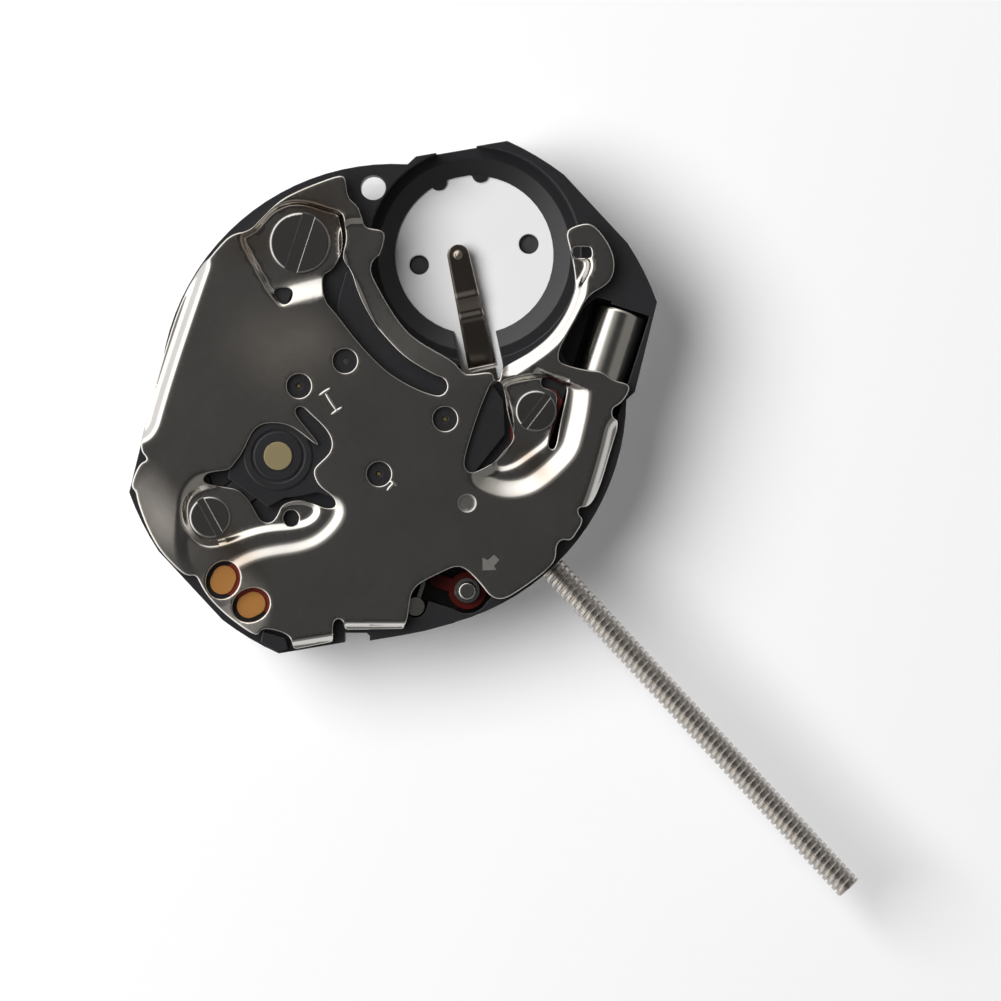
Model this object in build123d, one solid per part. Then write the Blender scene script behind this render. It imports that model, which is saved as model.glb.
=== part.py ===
from build123d import *
from math import atan2, cos, degrees, hypot, pi, radians, sin
import os

# A quartz watch movement, seen from its battery side. The origin is on the axis of the hands,
# in the face that the dial lies on. +Z points to the battery side, +X along the stem to the
# crown, and +Y towards the battery. All lengths are in millimetres.

# Plan sizes. Places read from the photograph are kept in its pixels, and the length of the
# movement, eight lignes, turns them into millimetres.
MOVEMENT_LENGTH = 18.05
MOVEMENT_LENGTH_PX = 554.1
MM_PER_PX = MOVEMENT_LENGTH / MOVEMENT_LENGTH_PX
PLATE_RADIUS_PX = 233.7
PLATE_RADIUS = PLATE_RADIUS_PX * MM_PER_PX
PLATE_HALF_LENGTH = MOVEMENT_LENGTH / 2
END_RADIUS_PX = 281
SHOULDER_HALF_WIDTH_PX = 161
SHOULDER_HEIGHT_PX = 181
END_HALF_WIDTH_PX = 98
CENTRE_PX = (392.9, 397.0)
STEM_ANGLE = 47.1

# Heights above the dial-side face
DIAL_PLATE_THICKNESS = 0.30
RIM_HEIGHT = 2.20
BOARD_THICKNESS = 0.10
BRIDGE_THICKNESS = 0.30
COVER_THICKNESS = 0.20
COVER_DROP = 0.30
ARM_DROP = 0.15
BRIDGE_BOTTOM = RIM_HEIGHT + BOARD_THICKNESS
COVER_BOTTOM = BRIDGE_BOTTOM + BRIDGE_THICKNESS
COVER_TOP = COVER_BOTTOM + COVER_THICKNESS
LOW_BOTTOM = COVER_BOTTOM - COVER_DROP
LOW_TOP = LOW_BOTTOM + COVER_THICKNESS
ARM_BOTTOM = COVER_BOTTOM - ARM_DROP
ARM_TOP = ARM_BOTTOM + COVER_THICKNESS

# Fits and overruns
OVERRUN = 1.0
RUNNING_CLEARANCE = 0.03
SEAT_CLEARANCE = 0.05
WHEEL_ROOM = 0.12

# Battery, a cell 6.8 mm wide and 1.65 mm high, and the well it drops into
BATTERY_PX = (474, 253)
BATTERY_RADIUS_PX = 104.4
BATTERY_RADIUS = BATTERY_RADIUS_PX * MM_PER_PX
BATTERY_CLEARANCE = 0.10
LEDGE_HEIGHT = 0.75
LEDGE_WIDTH = 0.90
LEDGE_SLOPE_WIDTH = 0.55
LEDGE_FOOT_HEIGHT = 0.40
WELL_RADIUS = BATTERY_RADIUS + BATTERY_CLEARANCE
WELL_BUMPS_PX = [(438, 180), (480, 172)]
WELL_BUMP_RADIUS = 0.27
WELL_NOTCH_PX = [(443, 192), (447, 177.5), (470, 172.5), (476, 186)]
SPRING_GAP_HALF_WIDTH = 0.68
WELL_HOLES_PX = [(418.5, 263), (529, 242)]
WELL_HOLE_RADIUS = 0.33

# Dial foot holes
FOOT_HOLE_PX = (373, 187)
FOOT_HOLE_SPREAD = 152.6
FOOT_HOLE_RADIUS = 0.41
FOOT_HOLE_DEPTH = 0.90

# Wheel places
ROTOR_PX = (278, 456)
INTERMEDIATE_PX = (299, 386)
FIFTH_PX = (345, 361)
THIRD_PX = (445, 419)
MINUTE_PX = (379, 474)
PIVOT_HOLES_PX = [INTERMEDIATE_PX, FIFTH_PX, THIRD_PX, MINUTE_PX]
PIVOT_HOLE_RADIUS = 0.39

# Wheel train: teeth, and how far the bottom of each toothed disc lies under the bridge. The
# motion works and the setting wheel are measured from the dial face instead.
ROTOR_LEAVES = 10
INTERMEDIATE_TEETH = 60
INTERMEDIATE_LEAVES = 24
FIFTH_TEETH = 30
FIFTH_LEAVES = 12
SECONDS_TEETH = 48
SECONDS_LEAVES = 8
THIRD_TEETH = 60
THIRD_LEAVES = 8
CENTRE_TEETH = 64
CANNON_LEAVES = 12
MINUTE_TEETH = 36
MINUTE_LEAVES = 10
HOUR_TEETH = 40
SETTING_TEETH = 17
WHEEL_THICKNESS = 0.12
THICK_WHEEL = 0.18
ROTOR_LEAVES_DROP = 1.07
ROTOR_LEAVES_HEIGHT = 0.22
INTERMEDIATE_DROP = 1.03
INTERMEDIATE_LEAVES_DROP = 0.64
INTERMEDIATE_LEAVES_HEIGHT = 0.26
FIFTH_DROP = 0.58
FIFTH_LEAVES_DROP = 0.40
FIFTH_LEAVES_HEIGHT = 0.28
SECONDS_DROP = 0.30
SECONDS_LEAVES_DROP = 0.64
SECONDS_LEAVES_HEIGHT = 0.28
THIRD_DROP = 0.58
THIRD_LEAVES_DROP = 0.92
THIRD_LEAVES_HEIGHT = 0.24
CENTRE_DROP = 0.86
HOUR_BOTTOM = 0.34
MINUTE_BOTTOM = 0.60
MINUTE_LEAVES_BOTTOM = 0.34
SETTING_BOTTOM = 0.61
CANNON_LEAVES_HEIGHT = 0.24
ARBOR_RADIUS = 0.12
PIVOT_RADIUS = 0.07
WEB_DROP = 1.30
LOWER_PIVOT_DROP = 1.26
PIVOT_REACH = 0.22
PIVOT_SHAKE = 0.04
CROSSING_SHARE = 0.22
CROSSING_PLACE_SHARE = 0.58
CROSSINGS = 4

# Tooth form, as shares of the module and of the tooth's step
ADDENDUM_SHARE = 0.85
DEDENDUM_SHARE = 1.15
ROOT_SHARE = 0.27
TIP_SHARE = 0.12

# Seats of the three hands
SECONDS_PIVOT_RADIUS = 0.09
SECONDS_REACH = 1.75
MINUTE_SEAT_RADIUS = 0.38
MINUTE_REACH = 1.35
CANNON_RADIUS = 0.42
HOUR_SEAT_RADIUS = 0.58
HOUR_HUB_RADIUS = 0.70
HOUR_REACH = 0.95
CENTRE_PIPE_RADIUS = 0.25
CENTRE_PIPE_REACH = 0.20
FIFTH_STUD_RADIUS = 0.09
FIFTH_STUD_DROP = 0.68

# Stepping motor
MAGNET_RADIUS = 0.75
MAGNET_DROP = 0.46
MAGNET_HEIGHT = 0.34
MAGNET_GAP = 0.18
STATOR_THICKNESS = 0.30
STATOR_WIDTH = 0.90
STATOR_RING_WIDTH = 0.45
CORE_THICKNESS = 0.30
CORE_WIDTH = 0.80
CORE_END_RADIUS = 0.95
STATOR_ROUTE_PX = [(300, 243), (264, 320), (243, 398), (278, 456)]
STATOR_TAIL_PX = [(278, 456), (246, 488), (210, 517)]
CORE_ROUTE_PX = [(300, 243), (231, 285), (182, 440), (210, 517)]
COIL_START_PX = (222, 312)
COIL_END_PX = (186, 428)
COIL_WIDTH = 1.50
COIL_HEIGHT = 0.86
COIL_FLANGE_THICKNESS = 0.20
COIL_FLANGE_MARGIN = 0.06
HUB_RADIUS = 1.10
HUB_RISE = 0.08
HUB_GROOVE_RADIUS = 0.88
HUB_GROOVE_WIDTH = 0.10
HUB_GROOVE_DEPTH = 0.06
BUSH_RADIUS = 0.46
BUSH_RISE = 0.06

# Stem and setting works
STEM_HEIGHT = 1.35
STEM_RADIUS = 0.45
STEM_END = 21.90
THREAD_START = 7.275
THREAD_PITCH = 0.225
THREAD_DEPTH = 0.12
THREAD_CREST_SHARE = 0.16
PILOT_START = 3.25
PILOT_END = 4.00
PILOT_RADIUS = 0.22
SQUARE_HALF = 0.24
NECK_START = 5.82
NECK_END = 6.10
NECK_RADIUS = 0.20
SQUARE_END = 5.45
STEM_POCKET_END = 6.78
CLUTCH_START = 4.30
CLUTCH_LENGTH = 1.00
CLUTCH_RADIUS = 0.54
CLUTCH_TEETH = 12
CLUTCH_TOOTH_DEPTH = 0.16
CLUTCH_GROOVE_START = 4.60
CLUTCH_GROOVE_WIDTH = 0.46
CLUTCH_GROOVE_RADIUS = 0.38
SETTING_PX_ANGLE = 54.3
LEVER_GAP = 0.10
LEVER_THICKNESS = 0.14
LEVER_PEG_RADIUS = 0.10
LEVER_COLLAR_RADIUS = 0.42
LEVER_COLLAR_HEIGHT = 0.14
YOKE_THICKNESS = 0.18
LEVER_POST_PX = (467, 591)
LEVER_POST_RADIUS = 0.29
LEVER_POST_RISE = 0.12
LEVER_POST_BOTTOM = 0.30
LEVER_EYE_RADIUS = 0.62
LEVER_NOSE_X = 5.96
LEVER_NOSE_WIDTH = 0.30
LEVER_ARM_WIDTH = 0.46
LEVER_ARM_END_Y = -0.85
LEVER_TAIL = (5.35, -3.05)
LEVER_PRESS = 0.22
YOKE_PIVOT = (4.20, -3.10)
YOKE_TIP_X = 4.94
YOKE_TIP_WIDTH = 0.16
YOKE_TIP_GAP = 0.05
YOKE_ARM_WIDTH = 0.40
YOKE_SWING_ROOM = 0.20
YOKE_EYE_RADIUS = 0.42
LEVER_PIN_RADIUS = 0.16
RESET_PIVOT = (4.45, -1.75)
RESET_TIP = (1.42, -1.45)
RESET_DROP = 0.27
RESET_THICKNESS = 0.14
RESET_WIDTH = 0.30
JUMPER_START = (5.50, -4.12)
JUMPER_END = (5.12, -3.42)
JUMPER_WIDTH = 0.14
JUMPER_FOOT_RADIUS = 0.30
JUMPER_FOOT_TOP = 2.15
PIN_DEPTH = 0.30
STUD_FOOT_RADIUS = 0.24
STUD_FOOT_THICKNESS = 0.10

# Contact spring under the battery's negative face
SPRING_ROOT_PX = (482, 366)
SPRING_TIP_PX = (458, 254)
SPRING_WIDTH = 0.80
SPRING_THICKNESS = 0.12
SPRING_ROOT_HEIGHT = 0.30
SPRING_RISE_SHARES = [(0.00, 0.00), (0.48, 0.45), (0.65, 0.85), (0.98, 1.00)]
SPRING_FOOT_LENGTH = 1.30
SPRING_RISE = 0.40

# Screws and pins of the cover
LARGE_SCREW_PX = (300, 243)
LARGE_HEAD_RADIUS_PX = 30.7
LARGE_HEAD_RADIUS = LARGE_HEAD_RADIUS_PX * MM_PER_PX
LARGE_HEAD_HEIGHT = 0.38
LARGE_SLOT_WIDTH = 0.42
SMALL_SCREW_PX = (210, 517)
SMALL_HEAD_RADIUS_PX = 20.9
SMALL_HEAD_RADIUS = SMALL_HEAD_RADIUS_PX * MM_PER_PX
SMALL_HEAD_HEIGHT = 0.34
SMALL_SLOT_WIDTH = 0.24
CLAMP_SCREW_PX = (536, 411)
SLOT_DEPTH_SHARE = 0.55
SHANK_RADIUS = 0.32
SHANK_LENGTH = 1.30
LARGE_SLOT_ANGLE = -61.0
SMALL_SLOT_ANGLE = -14.0
CLAMP_SLOT_ANGLE = 100.0

# Crystal can and its wires
CRYSTAL_OUTER_PX = (622, 309)
CRYSTAL_INNER_PX = (577, 450)
CRYSTAL_RADIUS = 0.87
CRYSTAL_SINK = 0.79
CRYSTAL_ROOM = 0.06
CRYSTAL_SIDE_PX = [(560, 352), (566, 338), (585, 306), (597, 297), (612, 301), (602, 345), (592, 378), (574, 376)]
LEAD_RADIUS = 0.09
LEAD_SPREAD = 0.28
LEAD_LENGTH = 0.70

# Chip, pads and board
CHIP_CENTRE = (3.30, -5.60)
CHIP_SIZE = 1.50
CHIP_HEIGHT = 0.45
PADS_PX = [(223, 580), (251, 605)]
PAD_LENGTH = 0.96
PAD_WIDTH = 0.78
PAD_THICKNESS = 0.06
PAD_ANGLES = [112.0, 74.0]
PAD_HOLE_MARGIN = 0.15
BOARD_PX = [
    (236, 560), (262, 552), (330, 546), (380, 536), (415, 528), (465, 512), (495, 495),
    (515, 470), (510, 430), (512, 395), (530, 384), (556, 390), (574, 420), (590, 450),
    (585, 500), (560, 532), (530, 566), (500, 585), (470, 560), (410, 575), (400, 612),
    (335, 618), (262, 612), (240, 600), (222, 592), (214, 575),
]
BOARD_HOLE_RADIUS = 0.45

# Screws that hold the dial-side plate
DIAL_SCREWS_PX = [(205, 335), (560, 505), (385, 592)]
DIAL_SCREW_RADIUS = 0.45
DIAL_SCREW_SHANK_RADIUS = 0.22
DIAL_SCREW_LENGTH = 0.85
DIAL_SCREW_HEAD_HEIGHT = 0.18

# Outline of the cover sheet and its openings, in pixels of the photograph
COVER_PX = [
    (231, 234), (250, 231), (262, 218), (280, 200), (300, 190), (320, 182), (340, 175),
    (346, 178), (348, 198), (357, 205), (361, 213), (364, 227), (375, 229), (382, 230),
    (385, 235), (383, 246), (380, 255), (374, 259), (371, 265), (371, 273), (376, 284),
    (386, 302), (396, 318), (407, 332), (421, 343), (437, 352), (453, 361), (462, 372),
    (468, 375), (493, 371), (494, 381), (500, 381), (501, 368), (523, 356), (531, 351),
    (548, 338), (562, 320), (571, 302), (576, 285), (573, 262), (569, 246), (566, 235),
    (569, 228), (585, 223), (593, 225), (602, 234), (612, 250), (615, 266), (612, 279),
    (604, 287), (592, 293), (584, 302), (576, 318), (567, 334), (559, 350), (558, 360),
    (563, 364), (585, 370), (602, 371), (612, 380), (630, 384), (628, 394), (620, 404),
    (612, 408), (612, 418), (605, 424), (600, 442), (592, 472), (584, 503), (578, 507),
    (578, 514), (584, 520), (575, 535), (570, 541), (562, 539), (556, 545), (556, 560),
    (545, 572), (520, 590), (503, 600), (490, 597), (480, 583), (465, 568), (455, 566),
    (440, 573), (420, 583), (413, 590), (410, 600), (408, 618), (404, 626), (345, 626),
    (343, 621), (338, 618), (333, 622), (333, 639), (293, 646), (288, 634), (262, 627),
    (258, 637), (240, 626), (222, 612), (207, 596), (200, 584), (196, 575), (186, 576),
    (175, 567), (160, 551), (150, 534), (143, 518), (137, 500), (136, 492), (131, 487),
    (133, 478), (140, 463), (149, 460), (150, 450), (168, 400), (181, 370), (195, 335),
    (205, 300), (214, 264), (210, 258), (216, 250),
]
ARM_SLOT_PX = [
    (338, 214), (343, 214), (345, 228), (346, 240), (343, 252), (343, 260), (349, 268),
    (353, 276), (357, 290), (365, 308), (377, 328), (390, 343), (404, 357), (421, 368),
    (436, 376), (443, 378), (447, 383), (447, 390), (441, 396), (430, 394), (415, 388),
    (400, 380), (385, 370), (365, 350), (350, 332), (335, 312), (324, 300), (322, 275),
    (330, 272), (338, 262), (342, 250), (343, 240), (341, 225),
]
TONGUE_NOTCH_PX = [(273, 291), (279, 302), (285, 305), (291, 301), (293, 292), (290, 288), (278, 288)]
TRIANGLE_PX = [
    (490, 385), (494, 381), (500, 381), (505, 392), (507, 410), (510, 422), (514, 435),
    (511, 444), (503, 452), (495, 462), (480, 470), (472, 473), (466, 470), (464, 462),
    (470, 440), (478, 415),
]
ROTOR_WINDOW_PX = [
    (203, 479), (207, 474), (215, 472), (230, 470), (235, 463), (241, 456), (246, 446),
    (250, 437), (255, 429), (263, 424), (275, 423), (287, 425), (297, 430), (318, 447),
    (319, 443), (300, 420), (295, 412), (297, 407), (303, 407), (310, 414), (325, 428),
    (331, 438), (332, 447), (328, 455), (318, 464), (313, 470), (315, 480), (321, 488),
    (332, 496), (336, 503), (334, 508), (325, 508), (312, 503), (300, 500), (288, 502),
    (281, 506), (277, 515), (273, 521), (267, 523), (260, 520), (257, 514), (251, 503),
    (245, 495), (238, 489), (228, 487), (213, 485), (205, 483),
]
PIN_SLOT_PX = [
    (541, 380), (545, 377), (556, 382), (566, 386), (567, 392), (560, 420), (556, 447),
    (551, 450), (548, 445), (551, 430), (558, 400), (556, 392), (548, 388), (542, 387),
]
FINGER_SLOT_PX = [(573, 248), (575, 247), (588, 247), (591, 248), (592, 256), (590, 258), (577, 258), (574, 257)]
COVER_WINDOWS_PX = [ARM_SLOT_PX, TONGUE_NOTCH_PX, TRIANGLE_PX, ROTOR_WINDOW_PX, PIN_SLOT_PX, FINGER_SLOT_PX]
GUIDE_HOLE_PX = (291, 518)
GUIDE_HOLE_RADIUS = 0.25

# Parts of the sheet that are pressed down onto what the screws clamp
LARGE_SCREW_LOW_PX = [
    (236, 236), (262, 236), (266, 220), (283, 205), (300, 201), (318, 203), (330, 212),
    (336, 224), (338, 243), (334, 262), (328, 272), (322, 275), (322, 292), (292, 297),
    (275, 300), (262, 275),
]
SMALL_SCREW_LOW_PX = [
    (165, 475), (185, 466), (203, 478), (228, 487), (245, 495), (257, 514), (267, 523),
    (277, 515), (288, 502), (312, 503), (330, 508), (337, 512), (330, 527), (318, 537),
    (300, 543), (275, 545), (250, 550), (228, 558), (205, 560), (185, 554), (168, 540),
    (160, 515), (158, 492),
]
CLAMP_LOW_PX = [
    (505, 388), (520, 377), (545, 375), (566, 385), (574, 390), (570, 415), (566, 440),
    (556, 458), (535, 477), (515, 484), (495, 483), (478, 473), (495, 462), (503, 452),
    (513, 437), (510, 422), (507, 405),
]
ARM_LOW_PX = [
    (344, 226), (364, 227), (387, 228), (387, 247), (374, 262), (388, 305), (410, 334),
    (437, 352), (452, 361), (444, 377), (421, 368), (404, 357), (377, 328), (357, 290),
    (347, 262), (346, 240),
]
LOW_PARTS_PX = [LARGE_SCREW_LOW_PX, SMALL_SCREW_LOW_PX, CLAMP_LOW_PX]

# Flanges bent down at the sheet's edge: start and end of each bend, and how far it leans out
FLANGES_PX = [((214, 266), (151, 448)), ((584, 502), (605, 425)), ((333, 639), (293, 646)), ((404, 626), (346, 626))]
FLANGE_REACHES = [0.42, 0.36, 0.14, 0.12]
FLANGE_DROP = 0.36
CLAMP_WALL_PX = [(531, 351), (548, 338), (562, 320), (571, 302), (576, 285)]
CLAMP_WALL_DROP = 0.35
PLATE_BLOCK_PX = [(263, 632), (285, 638), (288, 649), (278, 653), (261, 642)]
PLATE_BLOCK_RISE = 0.42
EDGE_STEP_PX = [(369, 641), (402, 635.5), (425, 631), (455, 622.8), (455, 605), (369, 620)]
EDGE_NOTCH_PX = [(344.5, 633), (344.5, 662), (369.5, 662), (369.5, 636), (366.5, 633)]

# Outline of the train bridge, and of the thin tongue that it reaches under the sheet's arm
TONGUE_THICKNESS = 0.12
TONGUE_PX = [
    (334, 338), (352, 358), (380, 388), (430, 410), (470, 415), (468, 392), (464, 384),
    (440, 362), (413, 345), (388, 321), (371, 289), (362, 268), (346, 272), (338, 300),
]
BRIDGE_PX = [
    (302, 312), (322, 318), (352, 345), (380, 377), (430, 402), (478, 408), (492, 384),
    (503, 400), (505, 434), (470, 478), (424, 500), (340, 500), (318, 492), (300, 496),
    (284, 498), (268, 507), (248, 492), (228, 478), (233, 440), (246, 400), (262, 350),
]


def place(pixel):
    """Millimetres in the movement's frame for a pixel of the photograph."""
    turn = radians(STEM_ANGLE)
    right = (pixel[0] - CENTRE_PX[0]) * MM_PER_PX
    down = (pixel[1] - CENTRE_PX[1]) * MM_PER_PX
    return (right * cos(turn) + down * sin(turn), right * sin(turn) - down * cos(turn))


def distance(start, end):
    """Distance between two places."""
    return hypot(end[0] - start[0], end[1] - start[1])


def heading(start, end):
    """Direction from one place to another, in degrees."""
    return degrees(atan2(end[1] - start[1], end[0] - start[0]))


def patch(pixels):
    """Flat face inside a row of photograph pixels."""
    return make_face(Polyline(*[place(pixel) for pixel in pixels], close=True))


def slab(face, bottom, top):
    """A flat face carried from one height to another."""
    return Pos(0, 0, bottom) * extrude(face, top - bottom)


def disc(centre, radius, bottom, top):
    """Upright cylinder between two heights."""
    solid = Cylinder(radius, top - bottom, align=(Align.CENTER, Align.CENTER, Align.MIN))
    return Pos(centre[0], centre[1], bottom) * solid


def taper(centre, low_radius, high_radius, bottom, top):
    """Upright cone between two heights, its tip cut off."""
    solid = Cone(low_radius, high_radius, top - bottom, align=(Align.CENTER, Align.CENTER, Align.MIN))
    return Pos(centre[0], centre[1], bottom) * solid


def strip(places, width, bottom, top):
    """Bar with round ends along a row of places."""
    solid = disc(places[0], width / 2, bottom, top)
    for start, end in zip(places, places[1:]):
        middle = ((start[0] + end[0]) / 2, (start[1] + end[1]) / 2)
        run = Box(distance(start, end), width, top - bottom, align=(Align.CENTER, Align.CENTER, Align.MIN))
        solid += Pos(middle[0], middle[1], bottom) * Rot(0, 0, heading(start, end)) * run
        solid += disc(end, width / 2, bottom, top)
    return solid


def rod(radius, start, end, height):
    """Round rod along the stem's axis."""
    solid = Cylinder(radius, end - start, align=(Align.CENTER, Align.CENTER, Align.MIN))
    return Pos(start, 0, height) * Rot(0, 90, 0) * solid


def module_for(start, end, teeth, other_teeth):
    """Module that makes two gears mesh at the distance of their axes."""
    return 2 * distance(start, end) / (teeth + other_teeth)


def meshed_turn(centre, teeth, turn, other_centre, other_teeth):
    """Turn of a second gear whose gap faces the first gear's tooth."""
    towards = heading(centre, other_centre)
    part_step = ((towards - turn) / (360 / teeth)) % 1
    return towards + 180 + (part_step + 1 / 2) * 360 / other_teeth


def toothed(centre, teeth, module, turn, bottom, top):
    """Gear with straight-flanked teeth."""
    root = module * (teeth / 2 - DEDENDUM_SHARE)
    tip = module * (teeth / 2 + ADDENDUM_SHARE)
    step = 2 * pi / teeth
    corners = [(root, -ROOT_SHARE), (tip, -TIP_SHARE), (tip, TIP_SHARE), (root, ROOT_SHARE)]
    points = []
    for tooth in range(teeth):
        for radius, share in corners:
            angle = radians(turn) + step * (tooth + share)
            points.append((centre[0] + radius * cos(angle), centre[1] + radius * sin(angle)))
    return slab(make_face(Polyline(*points, close=True)), bottom, top)


def crossed(wheel, centre, pitch_radius, bottom, top):
    """Wheel with its round crossings cut out."""
    for number in range(CROSSINGS):
        angle = 2 * pi * number / CROSSINGS
        reach = pitch_radius * CROSSING_PLACE_SHARE
        hole = (centre[0] + reach * cos(angle), centre[1] + reach * sin(angle))
        wheel -= disc(hole, pitch_radius * CROSSING_SHARE, bottom - OVERRUN, top + OVERRUN)
    return wheel


def pivoted_arbor(centre):
    """Arbor with a thin pivot at each end."""
    solid = disc(centre, ARBOR_RADIUS, LOWER_SHOULDER, PIVOT_SHOULDER_TOP)
    return solid + disc(centre, PIVOT_RADIUS, LOWER_PIVOT_BOTTOM, UPPER_PIVOT_TOP)


# Heights worked out from the sizes
ROTOR_LEAVES_BOTTOM = BRIDGE_BOTTOM - ROTOR_LEAVES_DROP
INTERMEDIATE_BOTTOM = BRIDGE_BOTTOM - INTERMEDIATE_DROP
INTERMEDIATE_LEAVES_BOTTOM = BRIDGE_BOTTOM - INTERMEDIATE_LEAVES_DROP
FIFTH_BOTTOM = BRIDGE_BOTTOM - FIFTH_DROP
FIFTH_LEAVES_BOTTOM = BRIDGE_BOTTOM - FIFTH_LEAVES_DROP
FIFTH_STUD_BOTTOM = BRIDGE_BOTTOM - FIFTH_STUD_DROP
SECONDS_BOTTOM = BRIDGE_BOTTOM - SECONDS_DROP
SECONDS_LEAVES_BOTTOM = BRIDGE_BOTTOM - SECONDS_LEAVES_DROP
THIRD_BOTTOM = BRIDGE_BOTTOM - THIRD_DROP
THIRD_LEAVES_BOTTOM = BRIDGE_BOTTOM - THIRD_LEAVES_DROP
CENTRE_BOTTOM = BRIDGE_BOTTOM - CENTRE_DROP
WEB_BOTTOM = BRIDGE_BOTTOM - WEB_DROP
LOWER_PIVOT_BOTTOM = BRIDGE_BOTTOM - LOWER_PIVOT_DROP
UPPER_PIVOT_TOP = BRIDGE_BOTTOM + PIVOT_REACH
PIVOT_SHOULDER_TOP = BRIDGE_BOTTOM - PIVOT_SHAKE
MAGNET_BOTTOM = BRIDGE_BOTTOM - MAGNET_DROP
RESET_BOTTOM = BRIDGE_BOTTOM - RESET_DROP
CRYSTAL_HEIGHT = RIM_HEIGHT - CRYSTAL_SINK
MINUTE_SEAT_TOP = -HOUR_REACH - RUNNING_CLEARANCE
SECONDS_SEAT_TOP = -MINUTE_REACH - RUNNING_CLEARANCE
KEYLESS_FLOOR = STEM_HEIGHT - CLUTCH_RADIUS - SEAT_CLEARANCE
YOKE_BOTTOM = STEM_HEIGHT - YOKE_THICKNESS / 2
LEVER_BOTTOM = STEM_HEIGHT - STEM_RADIUS - LEVER_GAP - LEVER_THICKNESS
LEVER_PEG_TOP = STEM_HEIGHT - NECK_RADIUS - SEAT_CLEARANCE
LEVER_POST_TOP = BRIDGE_BOTTOM + LEVER_POST_RISE

# Places and turns worked out from the sizes
CENTRE = (0, 0)
ROTOR = place(ROTOR_PX)
INTERMEDIATE = place(INTERMEDIATE_PX)
FIFTH = place(FIFTH_PX)
THIRD = place(THIRD_PX)
MINUTE = place(MINUTE_PX)
BATTERY = place(BATTERY_PX)
LEVER_POST = place(LEVER_POST_PX)
LOWER_SHOULDER = ROTOR_LEAVES_BOTTOM - RUNNING_CLEARANCE / 2

ROTOR_MODULE = module_for(ROTOR, INTERMEDIATE, ROTOR_LEAVES, INTERMEDIATE_TEETH)
FIFTH_MODULE = module_for(INTERMEDIATE, FIFTH, INTERMEDIATE_LEAVES, FIFTH_TEETH)
SECONDS_MODULE = module_for(FIFTH, CENTRE, FIFTH_LEAVES, SECONDS_TEETH)
THIRD_MODULE = module_for(CENTRE, THIRD, SECONDS_LEAVES, THIRD_TEETH)
CENTRE_MODULE = module_for(THIRD, CENTRE, THIRD_LEAVES, CENTRE_TEETH)
MINUTE_MODULE = module_for(CENTRE, MINUTE, CANNON_LEAVES, MINUTE_TEETH)
HOUR_MODULE = module_for(MINUTE, CENTRE, MINUTE_LEAVES, HOUR_TEETH)
SETTING_DISTANCE = MINUTE_MODULE * (SETTING_TEETH + MINUTE_TEETH) / 2
SETTING = (
    MINUTE[0] + SETTING_DISTANCE * cos(radians(SETTING_PX_ANGLE)),
    MINUTE[1] + SETTING_DISTANCE * sin(radians(SETTING_PX_ANGLE)),
)
INTERMEDIATE_TURN = meshed_turn(ROTOR, ROTOR_LEAVES, 0, INTERMEDIATE, INTERMEDIATE_TEETH)
FIFTH_TURN = meshed_turn(INTERMEDIATE, INTERMEDIATE_LEAVES, 0, FIFTH, FIFTH_TEETH)
SECONDS_TURN = meshed_turn(FIFTH, FIFTH_LEAVES, 0, CENTRE, SECONDS_TEETH)
THIRD_TURN = meshed_turn(CENTRE, SECONDS_LEAVES, 0, THIRD, THIRD_TEETH)
CENTRE_TURN = meshed_turn(THIRD, THIRD_LEAVES, 0, CENTRE, CENTRE_TEETH)
MINUTE_TURN = meshed_turn(CENTRE, CANNON_LEAVES, 0, MINUTE, MINUTE_TEETH)
HOUR_TURN = meshed_turn(MINUTE, MINUTE_LEAVES, 0, CENTRE, HOUR_TEETH)
SETTING_TURN = meshed_turn(MINUTE, MINUTE_TEETH, MINUTE_TURN, SETTING, SETTING_TEETH)

STATOR_TOP = LOW_BOTTOM
STATOR_BOTTOM = STATOR_TOP - STATOR_THICKNESS
CORE_TOP = STATOR_BOTTOM
CORE_BOTTOM = CORE_TOP - CORE_THICKNESS


def tip_radius(module, teeth):
    """Outer radius of a gear's teeth."""
    return module * (teeth / 2 + ADDENDUM_SHARE)


# Main plate
def plate_outline():
    """Round body of the plate with its two narrower ends."""
    shoulder = SHOULDER_HALF_WIDTH_PX * MM_PER_PX
    height = SHOULDER_HEIGHT_PX * MM_PER_PX
    end = END_HALF_WIDTH_PX * MM_PER_PX
    corners = [(shoulder, height), (end, PLATE_HALF_LENGTH), (-end, PLATE_HALF_LENGTH), (-shoulder, height)]
    below = [(-x, -y) for x, y in corners]
    ends = make_face(Polyline(*(corners + below), close=True))
    body = Circle(PLATE_RADIUS) + (ends & Circle(END_RADIUS_PX * MM_PER_PX))
    body += patch(EDGE_STEP_PX)
    return body - patch(EDGE_NOTCH_PX)


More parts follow.
